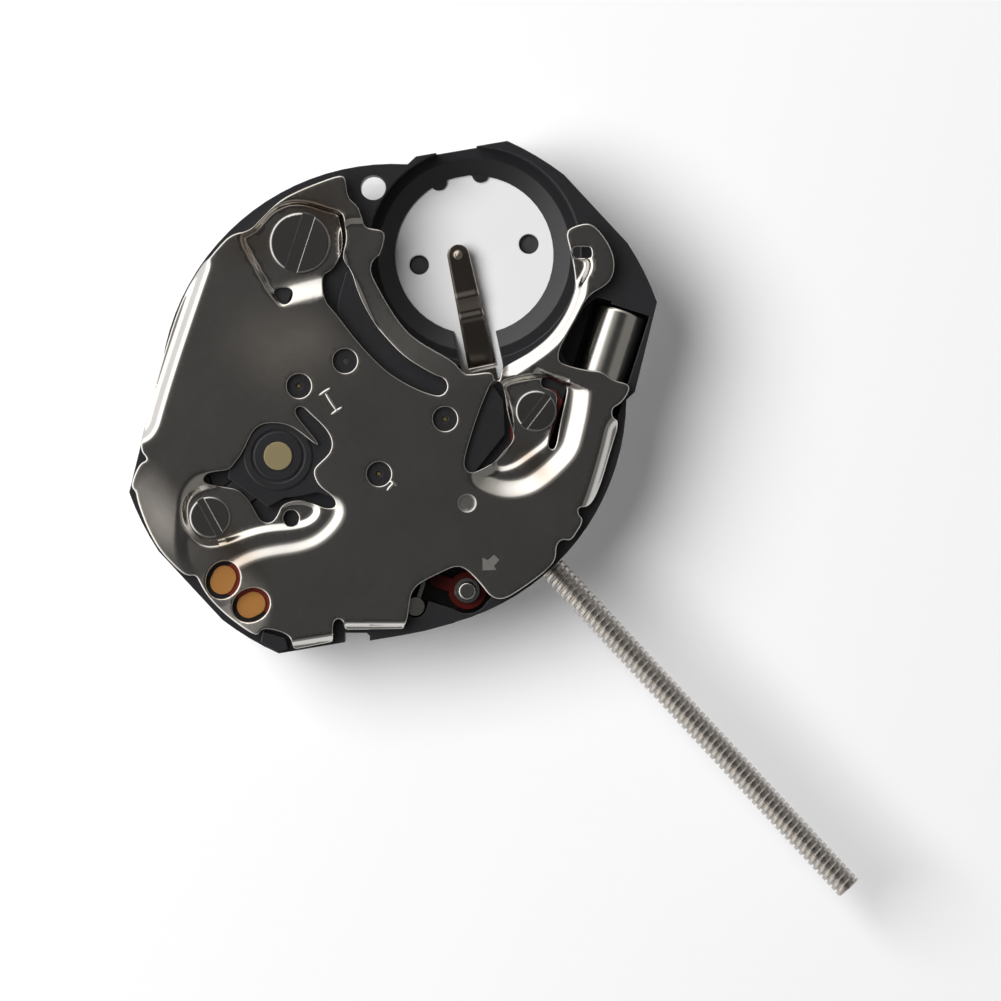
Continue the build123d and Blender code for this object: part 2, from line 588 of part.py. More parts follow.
def wheel_rooms():
    """Space that the wheels and levers turn in, cut from the plate's battery side."""
    top = RIM_HEIGHT + OVERRUN
    rooms = [
        (ROTOR, MAGNET_RADIUS, MAGNET_BOTTOM),
        (ROTOR, tip_radius(ROTOR_MODULE, ROTOR_LEAVES), ROTOR_LEAVES_BOTTOM),
        (INTERMEDIATE, tip_radius(ROTOR_MODULE, INTERMEDIATE_TEETH), INTERMEDIATE_BOTTOM),
        (FIFTH, tip_radius(FIFTH_MODULE, FIFTH_TEETH), FIFTH_STUD_BOTTOM),
        (CENTRE, tip_radius(CENTRE_MODULE, CENTRE_TEETH), CENTRE_BOTTOM),
        (THIRD, tip_radius(THIRD_MODULE, THIRD_TEETH), THIRD_BOTTOM),
        (THIRD, tip_radius(CENTRE_MODULE, THIRD_LEAVES), THIRD_LEAVES_BOTTOM),
        (MINUTE, ARBOR_RADIUS, WEB_BOTTOM),
        (THIRD, ARBOR_RADIUS, LOWER_SHOULDER),
    ]
    cut = disc(*rooms[0][:2], rooms[0][2] - SEAT_CLEARANCE, top)
    for centre, radius, bottom in rooms:
        cut += disc(centre, radius + WHEEL_ROOM, bottom - SEAT_CLEARANCE, top)
    return cut


def dial_side_rooms():
    """Space for the motion works, cut from the dial side."""
    bottom = DIAL_PLATE_THICKNESS - OVERRUN
    rooms = [
        (CENTRE, tip_radius(HOUR_MODULE, HOUR_TEETH), HOUR_BOTTOM + THICK_WHEEL),
        (CENTRE, tip_radius(MINUTE_MODULE, CANNON_LEAVES), MINUTE_BOTTOM + CANNON_LEAVES_HEIGHT),
        (MINUTE, tip_radius(MINUTE_MODULE, MINUTE_TEETH), MINUTE_BOTTOM + THICK_WHEEL),
        (SETTING, tip_radius(MINUTE_MODULE, SETTING_TEETH), SETTING_BOTTOM + THICK_WHEEL),
    ]
    cut = disc(CENTRE, HOUR_HUB_RADIUS, bottom, DIAL_PLATE_THICKNESS)
    for centre, radius, top in rooms:
        cut += disc(centre, radius + WHEEL_ROOM, bottom, top + SEAT_CLEARANCE)
    return cut


def keyless_room():
    """Space for the stem, the clutch wheel and the setting levers."""
    top = RIM_HEIGHT + OVERRUN
    half = CLUTCH_RADIUS + WHEEL_ROOM
    room = Box(STEM_POCKET_END - PILOT_END, 2 * half, top - KEYLESS_FLOOR, align=Align.MIN)
    cut = Pos(PILOT_END, -half, KEYLESS_FLOOR) * room
    swing = LEVER_ARM_WIDTH + 2 * WHEEL_ROOM
    cut += strip([(LEVER_NOSE_X, 0), (LEVER_NOSE_X + swing / 2, LEVER_ARM_END_Y), LEVER_POST], 2 * swing, LEVER_ROOM_FLOOR, top)
    cut += disc(LEVER_POST, LEVER_EYE_RADIUS + WHEEL_ROOM, LEVER_ROOM_FLOOR, top)
    cut += strip([LEVER_POST, LEVER_TAIL], 2 * swing, LEVER_ROOM_FLOOR, top)
    cut += strip([(YOKE_TIP_X - YOKE_SWING_ROOM, 0), YOKE_PIVOT], 2 * YOKE_ARM_WIDTH + 2 * YOKE_SWING_ROOM, YOKE_FLOOR, top)
    cut += strip([JUMPER_START, JUMPER_END], 2 * JUMPER_FOOT_RADIUS + WHEEL_ROOM, LEVER_ROOM_FLOOR, top)
    return cut


LEVER_ROOM_FLOOR = LEVER_BOTTOM - LEVER_PRESS - RUNNING_CLEARANCE
YOKE_FLOOR = YOKE_BOTTOM - SEAT_CLEARANCE


def crystal_trough():
    """Open trough that the crystal can lies in."""
    outer = place(CRYSTAL_OUTER_PX)
    inner = place(CRYSTAL_INNER_PX)
    length = distance(outer, inner) + LEAD_LENGTH + 2 * CRYSTAL_ROOM
    width = 2 * (CRYSTAL_RADIUS + CRYSTAL_ROOM)
    bottom = CRYSTAL_HEIGHT - CRYSTAL_RADIUS - CRYSTAL_ROOM
    trough = Box(length, width, RIM_HEIGHT + OVERRUN - bottom, align=(Align.MIN, Align.CENTER, Align.MIN))
    turned = Pos(outer[0], outer[1], bottom) * Rot(0, 0, heading(outer, inner))
    side = slab(patch(CRYSTAL_SIDE_PX), CRYSTAL_HEIGHT - CRYSTAL_RADIUS / 2, RIM_HEIGHT)
    return turned * Pos(-CRYSTAL_ROOM, 0, 0) * trough + side


def motor_room():
    """Space for the coil, its core and the stator."""
    top = RIM_HEIGHT + OVERRUN
    coil = [place(COIL_START_PX), place(COIL_END_PX)]
    coil_bottom = (CORE_BOTTOM + CORE_TOP - COIL_HEIGHT) / 2 - SEAT_CLEARANCE
    long_box = Box(
        distance(*coil) + 2 * WHEEL_ROOM, COIL_WIDTH + 2 * WHEEL_ROOM, top - coil_bottom,
        align=(Align.CENTER, Align.CENTER, Align.MIN),
    )
    middle = ((coil[0][0] + coil[1][0]) / 2, (coil[0][1] + coil[1][1]) / 2)
    cut = Pos(middle[0], middle[1], coil_bottom) * Rot(0, 0, heading(*coil)) * long_box
    core = [place(pixel) for pixel in CORE_ROUTE_PX]
    cut += strip(core, CORE_WIDTH + 2 * SEAT_CLEARANCE, CORE_BOTTOM, top)
    for end in (core[0], core[-1]):
        cut += disc(end, CORE_END_RADIUS + SEAT_CLEARANCE, CORE_BOTTOM, top)
    for route in (STATOR_ROUTE_PX, STATOR_TAIL_PX):
        cut += strip([place(pixel) for pixel in route], STATOR_WIDTH + 2 * SEAT_CLEARANCE, STATOR_BOTTOM, top)
    ring = MAGNET_RADIUS + MAGNET_GAP + STATOR_RING_WIDTH
    return cut + disc(ROTOR, ring + SEAT_CLEARANCE, STATOR_BOTTOM, top)


def battery_well():
    """Well for the battery with its sloped ledge, bumps and the gap for the contact spring."""
    top = RIM_HEIGHT + OVERRUN
    opening = WELL_RADIUS - LEDGE_WIDTH
    floor_hole = disc(BATTERY, opening, DIAL_PLATE_THICKNESS - OVERRUN, top)
    floor_hole += taper(BATTERY, opening, opening + LEDGE_SLOPE_WIDTH, LEDGE_FOOT_HEIGHT, LEDGE_HEIGHT)
    floor_hole += slab(patch(WELL_NOTCH_PX), DIAL_PLATE_THICKNESS - OVERRUN, LEDGE_HEIGHT)
    for bump in WELL_BUMPS_PX:
        floor_hole -= disc(place(bump), WELL_BUMP_RADIUS, DIAL_PLATE_THICKNESS - OVERRUN, LEDGE_FOOT_HEIGHT)
    root = place(SPRING_ROOT_PX)
    gap = strip([place(SPRING_TIP_PX), root], 2 * SPRING_GAP_HALF_WIDTH, DIAL_PLATE_THICKNESS - OVERRUN, top)
    foot = spring_foot_end()
    gap += strip([root, foot], 2 * SPRING_GAP_HALF_WIDTH, DIAL_PLATE_THICKNESS - OVERRUN, RIM_HEIGHT / 2)
    return disc(BATTERY, WELL_RADIUS, LEDGE_HEIGHT, top) + floor_hole + gap


def spring_foot_end():
    """Far end of the contact spring's fixed foot."""
    root = place(SPRING_ROOT_PX)
    turn = radians(heading(place(SPRING_TIP_PX), root))
    return (root[0] + SPRING_FOOT_LENGTH * cos(turn), root[1] + SPRING_FOOT_LENGTH * sin(turn))


def second_foot_hole():
    """Second dial foot hole, on the same circle about the hands."""
    first = place(FOOT_HOLE_PX)
    turn = radians(FOOT_HOLE_SPREAD + heading(CENTRE, first))
    return (distance(CENTRE, first) * cos(turn), distance(CENTRE, first) * sin(turn))


def screw_holes():
    """Holes for the shanks of the cover's screws and the dial-side screws."""
    seats = [
        (place(LARGE_SCREW_PX), CORE_BOTTOM),
        (place(SMALL_SCREW_PX), CORE_BOTTOM),
        (place(CLAMP_SCREW_PX), RIM_HEIGHT),
    ]
    cut = disc(*[seats[0][0], SHANK_RADIUS], LOW_TOP - SHANK_LENGTH, seats[0][1] + OVERRUN)
    for centre, seat in seats:
        cut += disc(centre, SHANK_RADIUS, LOW_TOP - SHANK_LENGTH, seat + OVERRUN)
    for pixel in DIAL_SCREWS_PX:
        cut += disc(place(pixel), DIAL_SCREW_SHANK_RADIUS, DIAL_PLATE_THICKNESS - OVERRUN, DIAL_SCREW_LENGTH)
    return cut


def make_main_plate():
    """Black plastic plate that carries everything."""
    plate = slab(plate_outline(), DIAL_PLATE_THICKNESS, RIM_HEIGHT)
    plate += slab(patch(PLATE_BLOCK_PX), RIM_HEIGHT - SEAT_CLEARANCE, RIM_HEIGHT + PLATE_BLOCK_RISE)
    plate -= wheel_rooms()
    plate -= motor_room()
    plate -= keyless_room()
    plate -= dial_side_rooms()
    plate -= crystal_trough()
    plate -= battery_well()
    plate -= screw_holes()
    plate -= rod(STEM_RADIUS + RUNNING_CLEARANCE, STEM_POCKET_END - OVERRUN / 2, PLATE_RADIUS + OVERRUN, STEM_HEIGHT)
    plate -= rod(PILOT_RADIUS + RUNNING_CLEARANCE, PILOT_START - SEAT_CLEARANCE, PILOT_END + OVERRUN / 2, STEM_HEIGHT)
    plate -= disc(CENTRE, CENTRE_PIPE_RADIUS + RUNNING_CLEARANCE, DIAL_PLATE_THICKNESS, RIM_HEIGHT)
    for pivot in (ROTOR, INTERMEDIATE, THIRD):
        plate -= disc(pivot, PIVOT_RADIUS + RUNNING_CLEARANCE, WEB_BOTTOM, RIM_HEIGHT)
    plate -= disc(MINUTE, ARBOR_RADIUS + RUNNING_CLEARANCE, DIAL_PLATE_THICKNESS, RIM_HEIGHT)
    plate -= disc(place(FOOT_HOLE_PX), FOOT_HOLE_RADIUS, DIAL_PLATE_THICKNESS - OVERRUN, RIM_HEIGHT + OVERRUN)
    plate -= disc(second_foot_hole(), FOOT_HOLE_RADIUS, DIAL_PLATE_THICKNESS - OVERRUN, FOOT_HOLE_DEPTH)
    plate -= strip([RESET_PIVOT, RESET_TIP], 3 * RESET_WIDTH, RESET_BOTTOM - SEAT_CLEARANCE, RIM_HEIGHT + OVERRUN)
    plate -= disc(YOKE_PIVOT, LEVER_PIN_RADIUS, YOKE_FLOOR - PIN_DEPTH, RIM_HEIGHT)
    plate -= disc(LEVER_POST, LEVER_POST_RADIUS + RUNNING_CLEARANCE, 0, RIM_HEIGHT)
    plate -= chip_block(SEAT_CLEARANCE)
    return plate


def chip_block(margin):
    """Block of the chip, or with a margin its pocket."""
    size = CHIP_SIZE + 2 * margin
    block = Box(size, size, CHIP_HEIGHT + margin, align=(Align.CENTER, Align.CENTER, Align.MAX))
    return Pos(CHIP_CENTRE[0], CHIP_CENTRE[1], RIM_HEIGHT) * block


# Pieces of the dial side
def make_dial_side_plate():
    """White plate that closes the dial side."""
    plate = slab(plate_outline(), 0, DIAL_PLATE_THICKNESS)
    plate -= disc(CENTRE, HOUR_HUB_RADIUS + RUNNING_CLEARANCE, -OVERRUN, OVERRUN)
    for pixel in WELL_HOLES_PX:
        plate -= disc(place(pixel), WELL_HOLE_RADIUS, -OVERRUN, OVERRUN)
    for foot in (place(FOOT_HOLE_PX), second_foot_hole()):
        plate -= disc(foot, FOOT_HOLE_RADIUS, -OVERRUN, OVERRUN)
    for pixel in DIAL_SCREWS_PX:
        plate -= disc(place(pixel), DIAL_SCREW_RADIUS, -OVERRUN, DIAL_SCREW_HEAD_HEIGHT)
        plate -= disc(place(pixel), DIAL_SCREW_SHANK_RADIUS, -OVERRUN, OVERRUN)
    plate -= disc(MINUTE, PIVOT_RADIUS + RUNNING_CLEARANCE, -OVERRUN, OVERRUN)
    plate -= disc(SETTING, ARBOR_RADIUS, -OVERRUN, OVERRUN)
    plate -= disc(LEVER_POST, LEVER_POST_RADIUS + RUNNING_CLEARANCE, -OVERRUN, OVERRUN)
    return plate


def make_dial_side_screws():
    """Three flush screws under the dial."""
    screws = []
    for pixel in DIAL_SCREWS_PX:
        centre = place(pixel)
        screw = disc(centre, DIAL_SCREW_RADIUS, 0, DIAL_SCREW_HEAD_HEIGHT)
        screw += disc(centre, DIAL_SCREW_SHANK_RADIUS, 0, DIAL_SCREW_LENGTH)
        slot = Box(3 * DIAL_SCREW_RADIUS, DIAL_SCREW_SHANK_RADIUS / 2, DIAL_SCREW_HEAD_HEIGHT)
        screws.append(screw - Pos(centre[0], centre[1], 0) * slot)
    return Compound(children=screws)


# Wheels
def make_rotor_magnet():
    """Two-pole magnet disc."""
    magnet = disc(ROTOR, MAGNET_RADIUS, MAGNET_BOTTOM, MAGNET_BOTTOM + MAGNET_HEIGHT)
    return magnet - disc(ROTOR, ARBOR_RADIUS, 0, COVER_TOP)


def make_rotor_pinion():
    """Rotor arbor with its pinion."""
    top = ROTOR_LEAVES_BOTTOM + ROTOR_LEAVES_HEIGHT
    pinion = toothed(ROTOR, ROTOR_LEAVES, ROTOR_MODULE, 0, ROTOR_LEAVES_BOTTOM, top)
    return pinion + pivoted_arbor(ROTOR)


def make_intermediate_wheel():
    """Wheel between the rotor and the fifth wheel."""
    top = INTERMEDIATE_BOTTOM + WHEEL_THICKNESS
    wheel = toothed(INTERMEDIATE, INTERMEDIATE_TEETH, ROTOR_MODULE, INTERMEDIATE_TURN, INTERMEDIATE_BOTTOM, top)
    wheel = crossed(wheel, INTERMEDIATE, ROTOR_MODULE * INTERMEDIATE_TEETH / 2, INTERMEDIATE_BOTTOM, top)
    leaves_top = INTERMEDIATE_LEAVES_BOTTOM + INTERMEDIATE_LEAVES_HEIGHT
    wheel += toothed(INTERMEDIATE, INTERMEDIATE_LEAVES, FIFTH_MODULE, 0, INTERMEDIATE_LEAVES_BOTTOM, leaves_top)
    return wheel + pivoted_arbor(INTERMEDIATE)


def make_fifth_wheel():
    """Fifth wheel, which turns on a stud of the bridge."""
    wheel = toothed(FIFTH, FIFTH_TEETH, FIFTH_MODULE, FIFTH_TURN, FIFTH_BOTTOM, FIFTH_BOTTOM + WHEEL_THICKNESS)
    top = FIFTH_LEAVES_BOTTOM + FIFTH_LEAVES_HEIGHT
    wheel += toothed(FIFTH, FIFTH_LEAVES, SECONDS_MODULE, 0, FIFTH_BOTTOM, top)
    return wheel - disc(FIFTH, FIFTH_STUD_RADIUS + RUNNING_CLEARANCE, 0, COVER_TOP)


def make_fifth_wheel_stud():
    """Stud riveted in the bridge, with a foot that keeps the wheel on."""
    stud = disc(FIFTH, FIFTH_STUD_RADIUS, FIFTH_STUD_BOTTOM, UPPER_PIVOT_TOP)
    foot_top = FIFTH_BOTTOM - RUNNING_CLEARANCE
    return stud + disc(FIFTH, 2 * FIFTH_STUD_RADIUS, FIFTH_STUD_BOTTOM, foot_top)


def make_seconds_wheel():
    """Seconds wheel, whose long arbor carries the seconds hand."""
    top = SECONDS_BOTTOM + WHEEL_THICKNESS
    wheel = toothed(CENTRE, SECONDS_TEETH, SECONDS_MODULE, SECONDS_TURN, SECONDS_BOTTOM, top)
    wheel = crossed(wheel, CENTRE, SECONDS_MODULE * SECONDS_TEETH / 2, SECONDS_BOTTOM, top)
    leaves_top = SECONDS_LEAVES_BOTTOM + SECONDS_LEAVES_HEIGHT
    wheel += toothed(CENTRE, SECONDS_LEAVES, THIRD_MODULE, 0, SECONDS_LEAVES_BOTTOM, leaves_top)
    wheel += disc(CENTRE, ARBOR_RADIUS, SECONDS_LEAVES_BOTTOM, PIVOT_SHOULDER_TOP)
    wheel += disc(CENTRE, PIVOT_RADIUS, SECONDS_LEAVES_BOTTOM, UPPER_PIVOT_TOP)
    wheel += taper(CENTRE, SECONDS_PIVOT_RADIUS, ARBOR_RADIUS, SECONDS_SEAT_TOP, SECONDS_LEAVES_BOTTOM)
    return wheel + disc(CENTRE, SECONDS_PIVOT_RADIUS, -SECONDS_REACH, SECONDS_SEAT_TOP)


def make_third_wheel():
    """Third wheel."""
    top = THIRD_BOTTOM + WHEEL_THICKNESS
    wheel = toothed(THIRD, THIRD_TEETH, THIRD_MODULE, THIRD_TURN, THIRD_BOTTOM, top)
    wheel = crossed(wheel, THIRD, THIRD_MODULE * THIRD_TEETH / 2, THIRD_BOTTOM, top)
    leaves_top = THIRD_LEAVES_BOTTOM + THIRD_LEAVES_HEIGHT
    wheel += toothed(THIRD, THIRD_LEAVES, CENTRE_MODULE, 0, THIRD_LEAVES_BOTTOM, leaves_top)
    return wheel + pivoted_arbor(THIRD)


def make_centre_wheel():
    """Centre wheel on a pipe round the seconds arbor."""
    top = CENTRE_BOTTOM + WHEEL_THICKNESS
    wheel = toothed(CENTRE, CENTRE_TEETH, CENTRE_MODULE, CENTRE_TURN, CENTRE_BOTTOM, top)
    wheel = crossed(wheel, CENTRE, CENTRE_MODULE * CENTRE_TEETH / 2, CENTRE_BOTTOM, top)
    wheel += disc(CENTRE, CENTRE_PIPE_RADIUS, -CENTRE_PIPE_REACH, top)
    return wheel - disc(CENTRE, ARBOR_RADIUS + RUNNING_CLEARANCE, -OVERRUN, COVER_TOP)


def make_cannon_pinion():
    """Cannon pinion, which grips the centre wheel's pipe and carries the minute hand."""
    top = MINUTE_BOTTOM + CANNON_LEAVES_HEIGHT
    pinion = toothed(CENTRE, CANNON_LEAVES, MINUTE_MODULE, 0, MINUTE_BOTTOM, top)
    pinion += taper(CENTRE, MINUTE_SEAT_RADIUS, CANNON_RADIUS, MINUTE_SEAT_TOP, MINUTE_BOTTOM)
    pinion += disc(CENTRE, MINUTE_SEAT_RADIUS, -MINUTE_REACH, MINUTE_SEAT_TOP)
    pinion -= disc(CENTRE, ARBOR_RADIUS + RUNNING_CLEARANCE, -MINUTE_REACH - OVERRUN, COVER_TOP)
    return pinion - disc(CENTRE, CENTRE_PIPE_RADIUS + RUNNING_CLEARANCE, -CENTRE_PIPE_REACH - SEAT_CLEARANCE, COVER_TOP)


def make_hour_wheel():
    """Hour wheel on its pipe round the cannon pinion."""
    wheel = toothed(CENTRE, HOUR_TEETH, HOUR_MODULE, HOUR_TURN, HOUR_BOTTOM, HOUR_BOTTOM + THICK_WHEEL)
    wheel += taper(CENTRE, HOUR_SEAT_RADIUS, HOUR_HUB_RADIUS, 0, HOUR_BOTTOM)
    wheel += disc(CENTRE, HOUR_SEAT_RADIUS, -HOUR_REACH, 0)
    return wheel - disc(CENTRE, CANNON_RADIUS + RUNNING_CLEARANCE, -HOUR_REACH - OVERRUN, COVER_TOP)


def make_minute_wheel():
    """Minute wheel and its pinion under the dial."""
    top = MINUTE_BOTTOM + THICK_WHEEL
    wheel = toothed(MINUTE, MINUTE_TEETH, MINUTE_MODULE, MINUTE_TURN, MINUTE_BOTTOM, top)
    wheel += toothed(MINUTE, MINUTE_LEAVES, HOUR_MODULE, 0, MINUTE_LEAVES_BOTTOM, MINUTE_BOTTOM)
    wheel += disc(MINUTE, ARBOR_RADIUS, MINUTE_BOTTOM, PIVOT_SHOULDER_TOP)
    return wheel + disc(MINUTE, PIVOT_RADIUS, DIAL_PLATE_THICKNESS / 2, UPPER_PIVOT_TOP)


def make_setting_wheel():
    """Setting wheel, which the clutch wheel drives when the stem is out."""
    wheel = toothed(SETTING, SETTING_TEETH, MINUTE_MODULE, SETTING_TURN, SETTING_BOTTOM, SETTING_BOTTOM + THICK_WHEEL)
    return wheel - disc(SETTING, ARBOR_RADIUS + RUNNING_CLEARANCE, 0, RIM_HEIGHT)


def make_setting_wheel_pin():
    """Fixed pin of the setting wheel."""
    return disc(SETTING, ARBOR_RADIUS, 0, SETTING_BOTTOM + THICK_WHEEL + SEAT_CLEARANCE)


# Bridge, motor and electronics
def make_train_bridge():
    """Black bridge that holds the upper pivots, with the rotor's hub and a thin tongue."""
    bridge = slab(patch(BRIDGE_PX), BRIDGE_BOTTOM, COVER_BOTTOM)
    bridge += slab(patch(TONGUE_PX), BRIDGE_BOTTOM, BRIDGE_BOTTOM + TONGUE_THICKNESS)
    hub_top = COVER_BOTTOM + HUB_RISE
    bridge += disc(ROTOR, HUB_RADIUS, BRIDGE_BOTTOM, hub_top)
    groove = disc(ROTOR, HUB_GROOVE_RADIUS, hub_top - HUB_GROOVE_DEPTH, hub_top + OVERRUN)
    groove -= disc(ROTOR, HUB_GROOVE_RADIUS - HUB_GROOVE_WIDTH, 0, hub_top + OVERRUN)
    bridge -= groove
    bridge -= disc(ROTOR, BUSH_RADIUS, 0, hub_top + OVERRUN)
    for pivot in (INTERMEDIATE, THIRD, MINUTE, CENTRE):
        bridge -= disc(pivot, PIVOT_RADIUS + RUNNING_CLEARANCE, 0, COVER_TOP)
    return bridge - disc(FIFTH, FIFTH_STUD_RADIUS, 0, COVER_TOP)


def make_rotor_bush():
    """Brass bush that holds the rotor's upper pivot."""
    bush = disc(ROTOR, BUSH_RADIUS, BRIDGE_BOTTOM, COVER_BOTTOM + HUB_RISE + BUSH_RISE)
    return bush - disc(ROTOR, PIVOT_RADIUS + RUNNING_CLEARANCE, 0, UPPER_PIVOT_TOP + SEAT_CLEARANCE)


def make_stator():
    """Soft-iron stator plate round the rotor magnet."""
    stator = strip([place(pixel) for pixel in STATOR_ROUTE_PX], STATOR_WIDTH, STATOR_BOTTOM, STATOR_TOP)
    stator += strip([place(pixel) for pixel in STATOR_TAIL_PX], STATOR_WIDTH, STATOR_BOTTOM, STATOR_TOP)
    ring = MAGNET_RADIUS + MAGNET_GAP + STATOR_RING_WIDTH
    stator += disc(ROTOR, ring, STATOR_BOTTOM, STATOR_TOP)
    stator -= disc(ROTOR, MAGNET_RADIUS + MAGNET_GAP, 0, COVER_TOP)
    for pixel in (LARGE_SCREW_PX, SMALL_SCREW_PX):
        stator -= disc(place(pixel), SHANK_RADIUS, 0, COVER_TOP)
    return stator


def make_coil_core():
    """Soft-iron core of the coil, screwed down with the stator."""
    route = [place(pixel) for pixel in CORE_ROUTE_PX]
    core = strip(route, CORE_WIDTH, CORE_BOTTOM, CORE_TOP)
    for end in (route[0], route[-1]):
        core += disc(end, CORE_END_RADIUS, CORE_BOTTOM, CORE_TOP)
        core -= disc(end, SHANK_RADIUS, 0, COVER_TOP)
    return core


def along_coil(length, width, height, shift):
    """Block across the coil core, its middle shifted along the core."""
    start = place(COIL_START_PX)
    end = place(COIL_END_PX)
    block = Box(length, width, height)
    turned = Pos(start[0], start[1], (CORE_BOTTOM + CORE_TOP) / 2) * Rot(0, 0, heading(start, end))
    return turned * Pos(shift, 0, 0) * block


def make_coil_winding():
    """Enamelled winding."""
    length = distance(place(COIL_START_PX), place(COIL_END_PX)) - 2 * COIL_FLANGE_THICKNESS
    width = COIL_WIDTH - 2 * COIL_FLANGE_MARGIN
    winding = along_coil(length, width, COIL_HEIGHT - 2 * COIL_FLANGE_MARGIN, length / 2 + COIL_FLANGE_THICKNESS)
    edges = winding.edges().filter_by(Axis((0, 0, 0), Vector(*coil_direction())))
    winding = fillet(edges, COIL_FLANGE_THICKNESS)
    return winding - make_coil_core()


def coil_direction():
    """Unit direction of the coil."""
    turn = radians(heading(place(COIL_START_PX), place(COIL_END_PX)))
    return (cos(turn), sin(turn), 0)


def make_coil_flanges():
    """Two insulating flanges at the ends of the winding."""
    length = distance(place(COIL_START_PX), place(COIL_END_PX))
    flanges = []
    for shift in (COIL_FLANGE_THICKNESS / 2, length - COIL_FLANGE_THICKNESS / 2):
        flange = along_coil(COIL_FLANGE_THICKNESS, COIL_WIDTH, COIL_HEIGHT, shift)
        flanges.append(flange - make_coil_core())
    return Compound(children=flanges)


def make_circuit_board():
    """Thin board under the cover."""
    board = slab(patch(BOARD_PX), RIM_HEIGHT, BRIDGE_BOTTOM)
    board -= disc(place(CLAMP_SCREW_PX), SHANK_RADIUS, 0, COVER_TOP)
    board -= disc(LEVER_POST, LEVER_EYE_RADIUS, 0, COVER_TOP)
    board -= disc(RESET_PIVOT, BOARD_HOLE_RADIUS, 0, COVER_TOP)
    board -= disc(ROTOR, HUB_RADIUS, 0, COVER_TOP)
    board -= strip([(CLUTCH_START, 0), (CLUTCH_START + CLUTCH_LENGTH, 0)], 2 * CLUTCH_RADIUS, 0, COVER_TOP)
    board -= crystal_trough()
    return board


def pad_shape(number, margin, bottom, top):
    """Oval of one test pad, or with a margin its hole in the cover."""
    length = PAD_LENGTH + 2 * margin
    width = PAD_WIDTH + 2 * margin
    centre = place(PADS_PX[number])
    oval = SlotOverall(length, width)
    return Pos(centre[0], centre[1], 0) * Rot(0, 0, PAD_ANGLES[number]) * slab(oval, bottom, top)


def make_test_pads():
    """Two copper pads on the board."""
    pads = [pad_shape(number, 0, BRIDGE_BOTTOM, BRIDGE_BOTTOM + PAD_THICKNESS) for number in range(len(PADS_PX))]
    return Compound(children=pads)


def make_crystal_can():
    """Metal can of the quartz crystal."""
    outer = place(CRYSTAL_OUTER_PX)
    inner = place(CRYSTAL_INNER_PX)
    can = Cylinder(CRYSTAL_RADIUS, distance(outer, inner), align=(Align.CENTER, Align.CENTER, Align.MIN))
    can = fillet(can.edges(), CRYSTAL_ROOM * 2)
    turned = Pos(outer[0], outer[1], CRYSTAL_HEIGHT) * Rot(0, 0, heading(outer, inner))
    return turned * Rot(0, 90, 0) * can


def make_crystal_leads():
    """Two wires of the crystal."""
    outer = place(CRYSTAL_OUTER_PX)
    inner = place(CRYSTAL_INNER_PX)
    turned = Pos(inner[0], inner[1], CRYSTAL_HEIGHT) * Rot(0, 0, heading(outer, inner))
    leads = []
    for side in (-1, 1):
        wire = Cylinder(LEAD_RADIUS, LEAD_LENGTH, align=(Align.CENTER, Align.CENTER, Align.MIN))
        leads.append(turned * Pos(0, side * LEAD_SPREAD, 0) * Rot(0, 90, 0) * wire)
    return Compound(children=leads)


# Stem and setting works
def make_stem():
    """Stem with its pilot, square, neck, journal and thread."""
    profile = [(PILOT_START, 0), (PILOT_START, PILOT_RADIUS), (PILOT_END, PILOT_RADIUS)]
    profile += [(PILOT_END, SQUARE_HALF), (SQUARE_END, SQUARE_HALF), (SQUARE_END, STEM_RADIUS)]
    profile += [(NECK_START, STEM_RADIUS), (NECK_START, NECK_RADIUS), (NECK_END, NECK_RADIUS)]
    profile += [(NECK_END, STEM_RADIUS), (THREAD_START, STEM_RADIUS)]
    turns = round((STEM_END - THREAD_START) / THREAD_PITCH)
    crest = THREAD_PITCH * THREAD_CREST_SHARE / 2
    for number in range(turns):
        start = THREAD_START + number * THREAD_PITCH
        profile += [(start + crest, STEM_RADIUS), (start + THREAD_PITCH / 2, STEM_RADIUS - THREAD_DEPTH)]
        profile += [(start + THREAD_PITCH - crest, STEM_RADIUS)]
    end = THREAD_START + turns * THREAD_PITCH
    profile += [(end, STEM_RADIUS), (end, 0)]
    face = make_face(Polyline(*[(x, 0, r) for x, r in profile], close=True))
    stem = revolve(face, Axis((0, 0, 0), (1, 0, 0)))
    square = Box(SQUARE_END - PILOT_END, 2 * SQUARE_HALF, 2 * SQUARE_HALF, align=(Align.MIN, Align.CENTER, Align.CENTER))
    return Pos(0, 0, STEM_HEIGHT) * (stem + Pos(PILOT_END, 0, 0) * square)


